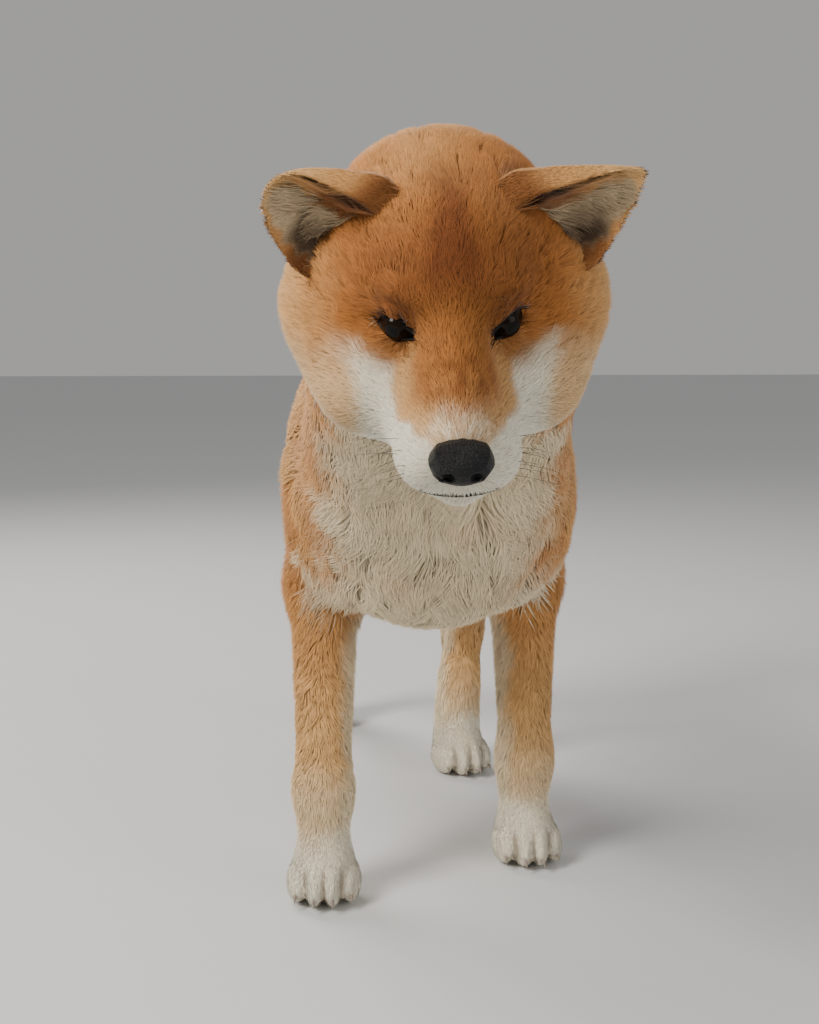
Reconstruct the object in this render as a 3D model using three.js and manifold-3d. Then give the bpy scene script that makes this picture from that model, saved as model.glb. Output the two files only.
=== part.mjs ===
// A life-size shiba inu that stands with its head lowered, one leg of each pair ahead of the other.
// Millimetres, +Z up. The dog faces -Y and its left side is +X. The origin is on the floor,
// under the middle of the model's bounding box.
// Every surface is the outside of the coat, so the outline runs out to the tips of the fur.
import * as THREE from "three";
import { mergeVertices } from "three/addons/utils/BufferGeometryUtils.js";
import Module from "manifold-3d";

const wasm = await Module();
wasm.setup();

// Driving dimensions. The y values count from a point under the middle of the body, before centring.
const GAP = 0.3; // between pieces that touch
const WITHERS_HEIGHT = 366;
const CHEST_FRONT = -212;
const RUMP_BACK = 206;
const SHOULDER_HALF_WIDTH = 84;
const EYE_HEIGHT = 350;
const EYE_LINE = -370; // how far forward the eyes are
const HEAD_ASIDE = -5.5; // the head hangs a little to the right
const HEAD_PITCH = 38; // degrees below level
const HEAD_ROLL = 2; // degrees, left side up
const CHEEK_HALF_WIDTH = 87;
const MUZZLE_LENGTH = 62; // from the eyes' line to the lip under the nose
const EYE_RADIUS = 10.5;
const EAR_THICKNESS = 6;
const TAIL_RADIUS = 31; // at its fullest, with its brush

const COLOURS = {
  coat: 0xc98a4b,
  cream: 0xe6dcc8,
  skin: 0x1c1a1c,
  eye: 0x1a0f0a,
  claw: 0x4a4038,
};

const rad = THREE.MathUtils.degToRad;
const vec = (x, y, z) => new THREE.Vector3(x, y, z);

// Forms: rounded volumes, each a signed distance in millimetres, negative inside.

function place(at, turn = [0, 0, 0], space = new THREE.Matrix4()) {
  const local = new THREE.Matrix4().makeRotationFromEuler(new THREE.Euler(...turn.map(rad)));
  local.setPosition(...at);
  return local.premultiply(space);
}

// An egg or a ball: `at` is its middle, `size` its three radii.
function blob(at, size, blend, { turn, space } = {}) {
  const m = place(at, turn, space).invert().elements;
  const [a, b, c] = size;
  const distance = (x, y, z) => {
    const u = (m[0] * x + m[4] * y + m[8] * z + m[12]) / a;
    const v = (m[1] * x + m[5] * y + m[9] * z + m[13]) / b;
    const w = (m[2] * x + m[6] * y + m[10] * z + m[14]) / c;
    const k = Math.hypot(u, v, w);
    const slope = Math.hypot(u / a, v / b, w / c);
    return slope < 1e-9 ? -Math.min(a, b, c) : (k * (k - 1)) / slope;
  };
  return { distance, blend };
}

// A tapering rod with round ends, from one point to another.
function rod(from, to, startRadius, endRadius, blend, space = new THREE.Matrix4()) {
  const a = vec(...from).applyMatrix4(space);
  const b = vec(...to).applyMatrix4(space);
  const along = b.clone().sub(a);
  const length = along.length();
  along.normalize();
  const lean = (startRadius - endRadius) / length;
  const upright = Math.sqrt(1 - lean * lean);
  const distance = (x, y, z) => {
    const px = x - a.x;
    const py = y - a.y;
    const pz = z - a.z;
    const h = px * along.x + py * along.y + pz * along.z;
    const side = Math.sqrt(Math.max(px * px + py * py + pz * pz - h * h, 0));
    const slide = h + (side * lean) / upright;
    if (slide < 0) return Math.hypot(side, h) - startRadius;
    if (slide > length) return Math.hypot(side, h - length) - endRadius;
    return side * upright + h * lean - startRadius;
  };
  return { distance, blend };
}

// The same form on both sides of the body: make gets +1 for the left and -1 for the right.
const bothSides = (make) => [make(1), make(-1)];

// A field melts its forms into one body. Each form's blend is the width of the fillet it makes.
// A hollow is a form that is pressed into the ones before it.
function field(forms) {
  return (x, y, z) => {
    let d = Infinity;
    for (const { distance, blend, hollow } of forms) {
      const e = hollow ? -distance(x, y, z) : distance(x, y, z);
      const h = Math.max(blend - Math.abs(d - e), 0) / blend;
      const fillet = (h * h * blend) / 4;
      d = hollow ? Math.max(d, e) + fillet : Math.min(d, e) - fillet;
    }
    return d;
  };
}

const hollow = (form) => ({ ...form, hollow: true });

// How far a ray from a point inside the body runs before it leaves the body.
function reachOf(body, from, toward, limit, grow = 0) {
  const outside = (r) =>
    body(from.x + toward.x * r, from.y + toward.y * r, from.z + toward.z * r) - grow;
  let near = 0;
  let far = 0;
  while (far < limit) {
    const d = outside(far);
    if (d > 0) break;
    near = far;
    far += Math.min(Math.max(-d * 0.8, 0.4), 6);
  }
  if (far >= limit) return limit;
  for (let i = 0; i < 16; i += 1) {
    const middle = (near + far) / 2;
    if (outside(middle) > 0) far = middle;
    else near = middle;
  }
  return near;
}

// Meshes

function closedMesh(points, faces) {
  const geometry = new THREE.BufferGeometry().setFromPoints(points);
  geometry.setIndex(faces.flat());
  return geometry;
}

// The four corners of a cell as two triangles, split along the shorter diagonal.
function cell(points, a, b, c, d) {
  const short = points[a].distanceToSquared(points[c]) <= points[b].distanceToSquared(points[d]);
  return short ? [[a, b, c], [a, c, d]] : [[a, b, d], [b, c, d]];
}

// Joins equal rings of points into a closed skin, from a first to a last point.
function skinOf(rings, first, last) {
  const n = rings[0].length;
  const points = [...rings.flat(), first, last];
  const start = points.length - 2;
  const end = points.length - 1;
  const faces = [];
  for (let j = 0; j < n; j += 1) {
    const k = (j + 1) % n;
    const tail = (rings.length - 1) * n;
    faces.push([start, k, j], [end, tail + j, tail + k]);
    for (let i = 0; i + 1 < rings.length; i += 1) {
      const a = i * n;
      const b = a + n;
      faces.push(...cell(points, a + j, a + k, b + k, b + j));
    }
  }
  return closedMesh(points, faces);
}

function frameAt(curve, t) {
  const along = curve.getTangentAt(t);
  const side = vec(1, 0, 0).addScaledVector(along, -along.x).normalize();
  return { middle: curve.getPointAt(t), along, side, up: along.clone().cross(side) };
}

// A sleeve is the body's surface round a line: rays leave the line on all sides and stop where
// the field ends. A fan of rays rounds off an end that is free; the other ends are cut later.
function sleeve({ body, line, rings, sides, reach, startFan = 0, endFan = 0, grow = 0 }) {
  const curve = new THREE.CatmullRomCurve3(line.map((p) => vec(...p)));
  const rows = [];
  const ray = (frame, angle, tilt) => {
    const toward = vec(0, 0, 0)
      .addScaledVector(frame.side, Math.cos(angle) * Math.cos(tilt))
      .addScaledVector(frame.up, Math.sin(angle) * Math.cos(tilt))
      .addScaledVector(frame.along, Math.sin(tilt));
    return frame.middle.clone().addScaledVector(toward, reachOf(body, frame.middle, toward, reach, grow));
  };
  const row = (frame, tilt) =>
    Array.from({ length: sides }, (_, j) => ray(frame, (j / sides) * 2 * Math.PI, tilt));
  const first = frameAt(curve, 0);
  const last = frameAt(curve, 1);
  for (let i = startFan; i > 0; i -= 1) rows.push(row(first, (-i / (startFan + 1)) * (Math.PI / 2)));
  for (let i = 0; i <= rings; i += 1) rows.push(row(frameAt(curve, i / rings), 0));
  for (let i = 1; i <= endFan; i += 1) rows.push(row(last, (i / (endFan + 1)) * (Math.PI / 2)));
  const startTip = startFan ? ray(first, 0, -Math.PI / 2) : first.middle;
  const endTip = endFan ? ray(last, 0, Math.PI / 2) : last.middle;
  return solid(skinOf(rows, startTip, endTip));
}

// A shell is the body's surface seen from one point inside it, in rings round a pole.
// crowd above 1 sets the rings closer at the pole.
function shell({ body, centre, pole, rings, sides, crowd = 1, reach, grow = 0 }) {
  const from = vec(...centre);
  const along = vec(...pole).sub(from).normalize();
  const side = vec(1, 0, 0).addScaledVector(along, -along.x).normalize();
  const up = along.clone().cross(side);
  const ray = (tilt, angle) => {
    const toward = along.clone().multiplyScalar(Math.cos(tilt));
    toward.addScaledVector(side, Math.sin(tilt) * Math.cos(angle));
    toward.addScaledVector(up, -Math.sin(tilt) * Math.sin(angle));
    return from.clone().addScaledVector(toward, reachOf(body, from, toward, reach, grow));
  };
  const rows = [];
  for (let i = 1; i < rings; i += 1) {
    const tilt = Math.PI * Math.pow(i / rings, crowd);
    rows.push(Array.from({ length: sides }, (_, j) => ray(tilt, (j / sides) * 2 * Math.PI)));
  }
  return solid(skinOf(rows, ray(0, 0), ray(Math.PI, 0)));
}

// A tapering horn or lock along a curve. width and thickness are half sizes, given as functions
// of the way along it, and `flat` is the direction that its thickness is measured in.
function taper(curve, steps, sides, width, thickness, flat) {
  const rings = [];
  for (let i = 0; i < steps; i += 1) {
    const t = i / steps;
    const along = curve.getTangent(t);
    const across = along.clone().cross(flat).normalize();
    const thick = across.clone().cross(along).normalize();
    rings.push(
      Array.from({ length: sides }, (_, j) => {
        const angle = (j / sides) * 2 * Math.PI;
        return curve
          .getPoint(t)
          .addScaledVector(across, Math.cos(angle) * width(t))
          .addScaledVector(thick, -Math.sin(angle) * thickness(t));
      }),
    );
  }
  return solid(skinOf(rings, curve.getPoint(0), curve.getPoint(1)));
}

// The nearest place on the body's surface, and which way is out there.
function settle(body, point) {
  const at = point.clone();
  const slope = (x, y, z) => body(at.x + x, at.y + y, at.z + z) - body(at.x - x, at.y - y, at.z - z);
  const out = vec(0, 0, 0);
  for (let i = 0; i < 4; i += 1) {
    out.set(slope(1, 0, 0), slope(0, 1, 0), slope(0, 0, 1)).normalize();
    at.addScaledVector(out, -body(at.x, at.y, at.z));
  }
  return { at, out };
}

// Where a ray leaves the body.
function rootOn(body, from, toward) {
  const direction = vec(...toward).normalize();
  return vec(...from).addScaledVector(direction, reachOf(body, vec(...from), direction, 150));
}

// A flat, tapering lock of fur. Its root is sunk in the body, it follows `lie` over the surface,
// stands off by `lift` and bends back towards the body at its tip.
function lock(body, root, lie, { length, width, lift, sway = 0, steps = 3 }) {
  const { at, out } = settle(body, root);
  const along = vec(...lie).addScaledVector(out, -out.dot(vec(...lie))).normalize();
  const aside = out.clone().cross(along);
  const point = (forward, height, side) => {
    const over = at.clone().addScaledVector(along, forward * length);
    const ground = settle(body, over.addScaledVector(aside, side * length));
    return ground.at.addScaledVector(ground.out, height);
  };
  const curve = new THREE.CatmullRomCurve3([
    point(-0.15, -0.3 * width, 0),
    point(0.25, 0.3 * lift, 0.1 * sway),
    point(0.65, lift, 0.45 * sway),
    point(1, 0.9 * lift, sway),
  ]);
  const half = (t) => 0.62 * width * Math.pow(1 - t, 0.7) * (0.8 + 0.5 * t);
  return taper(curve, steps, 4, half, (t) => 0.17 * width * (1 - 0.8 * t), out);
}

const joined = (pieces) => wasm.Manifold.union(pieces);

// Solids: manifold-3d joins and cuts

function solid(geometry) {
  const bare = new THREE.BufferGeometry();
  bare.setAttribute("position", geometry.getAttribute("position"));
  bare.setIndex(geometry.index);
  const merged = mergeVertices(bare, 1e-4);
  return new wasm.Manifold(
    new wasm.Mesh({
      numProp: 3,
      vertProperties: merged.attributes.position.array,
      triVerts: new Uint32Array(merged.index.array),
    }),
  );
}

const placed = (geometry, matrix) => solid(geometry.clone().applyMatrix4(matrix));

// Cuts a solid at a plane and keeps the side that the normal points to, half the gap away.
function keep(body, cut, side, away = GAP / 2) {
  const normal = vec(...cut.normal).normalize().multiplyScalar(side);
  return body.trimByPlane(normal.toArray(), normal.dot(vec(...cut.point)) + away);
}

const onTheFloor = (body) => body.trimByPlane([0, 0, 1], 0);

function largest(body) {
  return body.decompose().reduce((a, b) => (a.volume() > b.volume() ? a : b));
}

// The same numbers on every run, from 0 to 1.
function seeded(seed) {
  let state = seed;
  return () => {
    state = (state * 1664525 + 1013904223) % 4294967296;
    return state / 4294967296;
  };
}

const nodes = new THREE.Group();

function addNode(name, body, colour, roughness = 0.9) {
  const whole = largest(body).getMesh();
  const geometry = new THREE.BufferGeometry();
  geometry.setAttribute("position", new THREE.BufferAttribute(whole.vertProperties, 3));
  geometry.setIndex(new THREE.BufferAttribute(whole.triVerts, 1));
  geometry.computeVertexNormals();
  const material = new THREE.MeshStandardMaterial({ color: colour, roughness, metalness: 0 });
  const mesh = new THREE.Mesh(geometry, material);
  mesh.name = name;
  nodes.add(mesh);
}

// Head space: its origin is midway between the eyes, -y runs to the nose and +z to the crown.
const HEAD = place([HEAD_ASIDE, EYE_LINE, EYE_HEIGHT], [HEAD_PITCH, -HEAD_ROLL, 0]);
const inHead = (x, y, z) => vec(x, y, z).applyMatrix4(HEAD).toArray();
const headBlob = (at, size, blend, turn) => blob(at, size, blend, { turn, space: HEAD });
const headRod = (from, to, start, end, blend) => rod(from, to, start, end, blend, HEAD);

const skullForms = [
  headBlob([0, 50, -2], [50, 54, 51], 20), // cranium
  headBlob([0, 90, 0], [52, 42, 46], 20), // nape fur
  ...bothSides((s) => headBlob([s * 17, 16, 12], [18, 14, 10], 14)), // brows
  ...bothSides((s) => headBlob([s * (CHEEK_HALF_WIDTH - 41), 54, -28], [41, 43, 44], 22)), // cheeks
  ...bothSides((s) => headBlob([s * 40, 14, -44], [30, 34, 26], 22)), // lower cheeks
  ...bothSides((s) => headBlob([s * 27, 21, -33], [24, 24, 20], 14)), // under the eyes
  headBlob([0, 46, -52], [56, 50, 36], 24), // throat
];

const muzzleForms = [
  headRod([0, 10, -36], [0, -MUZZLE_LENGTH + 14, -38], 29, 22, 16), // muzzle
  headRod([0, 12, -12], [0, -MUZZLE_LENGTH + 6, -24], 14, 10.5, 14), // bridge
  headRod([0, 24, 8], [0, -22, -17], 16, 12, 18), // the gentle step between forehead and muzzle
  ...bothSides((s) => headBlob([s * 13.5, -MUZZLE_LENGTH + 15, -41], [17.5, 22, 14], 8)), // lips
  headRod([0, 0, -52], [0, -MUZZLE_LENGTH + 3, -54], 19, 8.5, 8), // chin
  ...bothSides((s) => headRod([s * 24, 6, -46], [s * 9, -46, -45], 21, 14, 12)), // jowls
  ...bothSides((s) => hollow(headBlob([s * 36, -7, -3], [14, 12, 7], 12))), // eye sockets
];

const neckForms = [
  rod([0, -120, 282], [HEAD_ASIDE, -284, 382], 78, 67, 30),
  blob([0, -196, 262], [68, 46, 66], 36, { turn: [30, 0, 0] }), // throat ruff
  ...bothSides((s) => rod([s * 34, -262, 322], [s * 26, -190, 262], 42, 42, 30)), // ruff at the sides
];

const shoulderForm = (side) =>
  blob([side * 50, -128, 246], [SHOULDER_HALF_WIDTH - 50, 54, 74], 26, { turn: [-22, 0, 0] });

const torsoForms = [
  blob([0, -62, 268], [80, 128, WITHERS_HEIGHT - 268 - 4], 30), // rib cage
  blob([0, -152, 238], [64, 60, 70], 36), // fore chest
  blob([0, CHEST_FRONT + 44, 214], [56, 42, 46], 30), // chest fur
  blob([0, -96, WITHERS_HEIGHT - 52], [46, 78, 52], 36), // withers
  ...bothSides((s) => shoulderForm(s)),
  blob([0, 66, 288], [66, 112, 72], 40), // loin and belly
  blob([0, 142, 294], [60, RUMP_BACK - 142, 66], 40), // rump
];

// Legs. Each foot states where its toes point from and how the joints above it stand.
const FORE = {
  left: { side: 1, paw: [65, -116], wrist: [66, -103, 62], elbow: [65, -98, 190], yaw: 4 },
  right: { side: -1, paw: [-68, -184], wrist: [-68, -166, 62], elbow: [-66, -112, 190], yaw: -2 },
};
const HIND = {
  left: { side: 1, paw: [41, 106], heel: [47, 140, 104], knee: [51, 68, 196], yaw: 14 },
  right: { side: -1, paw: [-60, 264], heel: [-57, 266, 110], knee: [-54, 162, 188], yaw: -6 },
};

function foreLegForms({ side, wrist, elbow }) {
  return [
    blob([side * 50, -134, 248], [33, 44, 50], 20, { turn: [-20, 0, 0] }), // shoulder
    rod([side * 52, -138, 236], elbow, 34, 25, 24), // upper arm
    blob([elbow[0], elbow[1] + 6, elbow[2] - 4], [23, 28, 30], 16), // elbow
    rod([elbow[0], elbow[1], elbow[2] - 14], wrist, 24, 17, 18), // forearm
  ];
}

// The hock bends sharply, so the leg above it and the pastern below it are two bodies.
function hindLegForms({ side, heel, knee, paw }) {
  const hock = blob([heel[0], heel[1] + 3, heel[2]], [14, 15, 18], 12);
  return {
    upper: [
      blob([side * 36, 122, 274], [42, 62, 62], 20), // haunch
      rod([side * 36, 126, 268], knee, 44, 31, 34), // thigh
      rod(knee, heel, 31, 15, 26), // gaskin
      hock,
    ],
    lower: [hock, rod(heel, [paw[0], paw[1] + 16, 34], 14.5, 14.5, 12)], // rear pastern
  };
}

// Paw space: its origin is on the floor under the middle of the foot, -y runs to the toes.
const PAW = { width: 46, reach: 34 };
const TOES = [-1.5, -0.5, 0.5, 1.5];

function toeOf(index) {
  const outer = Math.abs(index) > 1;
  return {
    at: [index * PAW.width * 0.24, outer ? -PAW.reach + 25 : -PAW.reach + 18, outer ? 11 : 12.5],
    size: [PAW.width / 6.4, outer ? 17 : 19, outer ? 12.5 : 14],
    turn: [outer ? 8 : 12, 0, index * -5],
  };
}

function footForms(space, ankle, radius) {
  return [
    blob([0, -6, 15], [19, 24, 17], 10, { space }),
    rod([0, 6, 22], ankle, 17, radius, 16, space),
  ];
}

// Tail: a thick brush that rises from the croup and curls forward over the back.
const TAIL_LINE = [
  [0, 166, 314],
  [0, 194, 350],
  [2, 203, 390],
  [7, 188, 421],
  [15, 154, 435],
  [25, 118, 425],
  [32, 97, 400],
  [34, 97, 384],
];
const TAIL_RADII = [23, 26, 29, TAIL_RADIUS, TAIL_RADIUS, 27, 18, 12];

function tailForms() {
  const forms = [];
  for (let i = 0; i + 1 < TAIL_LINE.length; i += 1) {
    forms.push(rod(TAIL_LINE[i], TAIL_LINE[i + 1], TAIL_RADII[i], TAIL_RADII[i + 1], 12));
  }
  return forms;
}

// Head

const headBody = field([...skullForms, ...muzzleForms, ...neckForms]);
const headShell = (grow) =>
  shell({
    body: headBody,
    centre: inHead(0, 16, -28),
    pole: inHead(0, -MUZZLE_LENGTH, -36),
    rings: 24,
    sides: 32,
    crowd: 1.2,
    reach: 140,
    grow,
  });

const NECK_TO_HEAD = { point: [0, -291, 385], normal: [0, -0.995, 0.1] };
const TORSO_TO_NECK = { point: [0, -163, 302], normal: [0, -0.81, 0.58] };

const EYE_AT = (side) => [side * 24.5, 10.5, -5];
const GAZE = (side) => vec(side * 0.5, -0.85, 0.12).normalize();

// Eye space: +z looks out of the eye, +x runs to its outer corner.
function eyeSpace(side) {
  const out = GAZE(side);
  const across = vec(side * 0.74, 0.62, 0.2);
  across.addScaledVector(out, -across.dot(out)).normalize();
  const up = out.clone().cross(across);
  const basis = new THREE.Matrix4().makeBasis(across, up, out);
  return basis.setPosition(...EYE_AT(side)).premultiply(HEAD);
}

// The almond between the lids.
const LIDS = { halfWidth: 12.2, rise: 4.8, drop: 4, thickness: 2 };

function almond() {
  const shape = new THREE.Shape();
  shape.moveTo(-LIDS.halfWidth, -1);
  shape.quadraticCurveTo(-2, 2 * LIDS.rise, LIDS.halfWidth, 1.5);
  shape.quadraticCurveTo(0, -2 * LIDS.drop, -LIDS.halfWidth, -1);
  return new THREE.ExtrudeGeometry(shape, { depth: 30, bevelEnabled: false, curveSegments: 6 });
}

function withEyes(head) {
  let made = head;
  for (const side of [1, -1]) {
    const space = eyeSpace(side);
    const lids = placed(new THREE.SphereGeometry(EYE_RADIUS + LIDS.thickness, 16, 12), space);
    const socket = placed(new THREE.SphereGeometry(EYE_RADIUS + GAP, 12, 8), space);
    made = made.add(lids).subtract(placed(almond(), space)).subtract(socket);
  }
  return made;
}

// The line of the mouth: a groove that follows the muzzle from corner to corner.
const MOUTH = { height: -49.5, droop: 8, corner: 100, width: 1.3, middle: -MUZZLE_LENGTH + 28 };

function mouthGroove() {
  const points = [];
  for (let angle = -MOUTH.corner; angle <= MOUTH.corner; angle += 12.5) {
    const turn = rad(angle);
    const height = MOUTH.height - MOUTH.droop * (1 - Math.cos(turn));
    const from = vec(...inHead(0, MOUTH.middle, height));
    const toward = vec(Math.sin(turn), -Math.cos(turn), 0).transformDirection(HEAD);
    points.push(from.clone().addScaledVector(toward, reachOf(headBody, from, toward, 90)));
  }
  const section = new THREE.Shape().absarc(0, 0, MOUTH.width, 0, 2 * Math.PI);
  return solid(
    new THREE.ExtrudeGeometry(section, {
      extrudePath: new THREE.CatmullRomCurve3(points),
      steps: 18,
      curveSegments: 2,
      bevelEnabled: false,
    }),
  );
}

// Nose leather, with comma-shaped nostrils and the groove between them.
const NOSE = { width: 32, height: 24, front: -MUZZLE_LENGTH - 19, middle: -28 };

function noseSolid() {
  const back = NOSE.front + 12;
  const pad = field([
    headBlob([0, back, NOSE.middle + 2], [NOSE.width / 2 - 3, 12, NOSE.height / 2], 6),
    ...bothSides((s) => headBlob([s * 8.5, back + 1, NOSE.middle + 1], [7.5, 10, 9.5], 4)),
  ]);
  const made = sleeve({
    body: pad,
    line: [inHead(0, back + 6, NOSE.middle + 2), inHead(0, back - 2, NOSE.middle + 1)],
    rings: 2,
    sides: 12,
    reach: 30,
    startFan: 1,
    endFan: 3,
  });
  const nostril = (s) =>
    taper(
      new THREE.CatmullRomCurve3([
        vec(...inHead(s * 4.6, NOSE.front - 3, NOSE.middle + 1)),
        vec(...inHead(s * 7.5, NOSE.front + 5, NOSE.middle)),
        vec(...inHead(s * 14, NOSE.front + 7, NOSE.middle - 4)),
        vec(...inHead(s * 20, NOSE.front + 9, NOSE.middle - 5)),
      ]),
      3,
      5,
      (t) => 3.2 - 1.6 * t,
      (t) => 3.6 - 1.8 * t,
      vec(0, 0, 1).transformDirection(HEAD),
    );
  const parting = place([0, NOSE.front - 0.2, NOSE.middle - 10], [90, 0, 0], HEAD);
  const groove = placed(new THREE.CylinderGeometry(0.9, 0.9, 26, 6), parting);
  return made.subtract(nostril(1)).subtract(nostril(-1)).subtract(groove);
}

// Ears: cups whose rims curl forward, turned out to the sides. The fur is thickest along the
// inner edge, next to the crown. The right ear droops a little and its tip is blunter.
const EAR = {
  innerRoot: [42, 70, 41],
  outerRoot: [82, 55, 8],
  sunk: 0.3,
  rows: 8,
  across: 8,
  fur: 10, // on the back of the inner edge
  roll: 9, // how far the furry inner edge rolls over the cup
};
const EAR_TIPS = {
  left: { tip: [99, 60, 48], taper: 0.66, curl: [72, 30] },
  right: { tip: [87, 63, 45], taper: 0.34, curl: [78, 56] },
};

function earSolid(name, side) {
  const { tip, taper: narrowing, curl: curls } = EAR_TIPS[name];
  const inner = vec(...EAR.innerRoot);
  const outer = vec(...EAR.outerRoot);
  const root = inner.clone().lerp(outer, 0.5);
  const rise = vec(...tip).sub(root);
  const half = outer.distanceTo(inner) / 2;
  const across = outer.clone().sub(inner).normalize();
  const open = across.clone().cross(rise).normalize();
  const rowAt = (s) => {
    const up = Math.max(s, 0);
    const curl = THREE.MathUtils.lerp(curls[0], curls[1], up);
    const radius = (half * Math.pow(Math.max(1 - s, 0.015), narrowing)) / Math.sin(rad(curl));
    const middle = root.clone().addScaledVector(rise, s);
    const layer = (depth, fur, roll) =>
      Array.from({ length: EAR.across + 1 }, (_, j) => {
        const q = (2 * j) / EAR.across - 1;
        const edge = Math.sqrt(Math.max(1 - q ** 4, 0.05));
        const rolled = roll * Math.sqrt(1 - 0.8 * up) * Math.max((-q - 0.35) / 0.65, 0);
        const r = radius + depth * edge + fur * (1 - up) * Math.pow((1 - q) / 2, 1.5) - rolled;
        return middle
          .clone()
          .addScaledVector(across, r * Math.sin(rad(curl * q)))
          .addScaledVector(open, radius - r * Math.cos(rad(curl * q)));
      });
    const thin = EAR_THICKNESS * (1 - 0.4 * up);
    return [...layer(-0.3 * thin, 0, EAR.roll), ...layer(0.7 * thin, EAR.fur, 0).reverse()];
  };
  const step = (1 + EAR.sunk) / EAR.rows;
  const rows = Array.from({ length: EAR.rows + 1 }, (_, i) => rowAt(i * step - EAR.sunk));
  const mirror = new THREE.Matrix4().makeScale(side, 1, 1).premultiply(HEAD);
  const points = rows.flat().map((p) => p.applyMatrix4(mirror));
  return solid(closedMesh(points, crescentFaces(rows.length, EAR.across, side)));
}

// Faces of a stack of crescents, each an inner arc and an outer arc that share their ends.
function crescentFaces(rows, across, side) {
  const n = 2 * (across + 1);
  const faces = [];
  const quad = (a, b, c, d) => {
    faces.push(...(side < 0 ? [[a, b, c], [a, c, d]] : [[a, c, b], [a, d, c]]));
  };
  for (let i = 0; i + 1 < rows; i += 1) {
    for (let j = 0; j < n; j += 1) {
      const k = (j + 1) % n;
      quad(i * n + j, (i + 1) * n + j, (i + 1) * n + k, i * n + k);
    }
  }
  for (const [base, order] of [[0, 1], [(rows - 1) * n, -1]]) {
    for (let j = 0; j < across; j += 1) {
      const loop = [base + j, base + j + 1, base + n - 2 - j, base + n - 1 - j];
      quad(...(order > 0 ? loop : loop.reverse()));
    }
  }
  return faces;
}

// Body

const torsoBody = field([...torsoForms, ...neckForms]);

function torsoSleeve(grow) {
  return sleeve({
    body: torsoBody,
    line: [[0, -158, 250], [0, -60, 268], [0, 60, 284], [0, 150, 294]],
    rings: 15,
    sides: 28,
    reach: 150,
    startFan: 5,
    endFan: 4,
    grow,
  });
}

const neckBody = field([...torsoForms, ...neckForms, ...skullForms]);

function neckSleeve(grow) {
  return sleeve({
    body: neckBody,
    grow,
    line: [[0, -116, 276], [0, -200, 328], [0, -270, 372], [0, -326, 396]],
    rings: 10,
    sides: 28,
    reach: 130,
  });
}

const ELBOW_HEIGHT = 150;
const ANKLE = { point: [0, 0, 48], normal: [0, 0, -1] };

const pawSpace = ({ paw, yaw }) => place([paw[0], paw[1], 0], [0, 0, yaw]);

// The foot is the end of the leg's own sleeve, with four toes set into it.
function pawSolid(body, space, grow) {
  const below = (y, z) => vec(0, y, z).applyMatrix4(space).toArray();
  const foot = sleeve({
    body,
    line: [below(-4, 14), below(2, 26), below(4, 44), below(6, 62)],
    rings: 4,
    sides: 11,
    reach: 40,
    startFan: 2,
    grow,
  });
  const toes = TOES.map((index) => {
    const { at, size, turn } = toeOf(index);
    const toe = new THREE.SphereGeometry(1, 7, 5).scale(...size.map((r) => r + grow));
    return placed(toe, place(at, turn, space));
  });
  const whole = toes.reduce((made, toe) => made.add(toe), foot);
  return onTheFloor(keep(whole, ANKLE, 1));
}

function addPaw(name, leg, body) {
  const space = pawSpace(leg);
  addNode(name, pawSolid(body, space, 0), COLOURS.cream);
  const skin = pawSolid(body, space, GAP);
  TOES.forEach((index, i) => {
    const { at, size } = toeOf(index);
    const tip = at[1] - size[1];
    const points = [
      [at[0], tip + 7, 9],
      [at[0] + index * 0.3, tip, 7],
      [at[0] + index * 0.5, tip - 2.4, 2.2],
    ];
    const curve = new THREE.CatmullRomCurve3(points.map((p) => vec(...p).applyMatrix4(space)));
    const horn = taper(curve, 2, 4, (t) => 1.9 - 1.2 * t, (t) => 2.4 - 1.5 * t, vec(0, 0, 1));
    addNode(`${name}_claw_${i + 1}`, horn.subtract(skin), COLOURS.claw, 0.4);
  });
}

const torsoSkin = torsoSleeve(GAP);

function foreLegSleeve(leg, body, grow) {
  return sleeve({
    body,
    line: [[leg.side * 50, -136, 250], leg.elbow, leg.wrist, [leg.paw[0], leg.paw[1] + 4, 34]],
    rings: 14,
    sides: 12,
    reach: 76,
    startFan: 3,
    grow,
  });
}

function foreLegBody(leg) {
  const ankle = vec(...leg.wrist).applyMatrix4(pawSpace(leg).invert()).toArray();
  return field([...foreLegForms(leg), ...footForms(pawSpace(leg), ankle, 17)]);
}

function addForeLeg(name, leg) {
  const body = foreLegBody(leg);
  const all = foreLegSleeve(leg, body, 0).subtract(torsoSkin);
  const elbow = { point: [0, 0, ELBOW_HEIGHT], normal: [0, 0, -1] };
  addNode(`${name}_upper`, keep(all, elbow, -1), COLOURS.coat);
  addNode(`${name}_forearm`, keep(keep(all, elbow, 1), ANKLE, -1), COLOURS.coat);
  addPaw(`${name}_paw`, leg, body);
}

function thighSleeve(leg, body, grow) {
  const { side, knee, heel } = leg;
  return sleeve({
    body,
    line: [
      [side * 36, 126, 286],
      [side * 42, (126 + knee[1]) / 2, 240],
      [knee[0], knee[1] + 6, knee[2]],
      heel,
    ],
    rings: 14,
    sides: 12,
    reach: 84,
    startFan: 3,
    endFan: 2,
    grow,
  });
}

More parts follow.
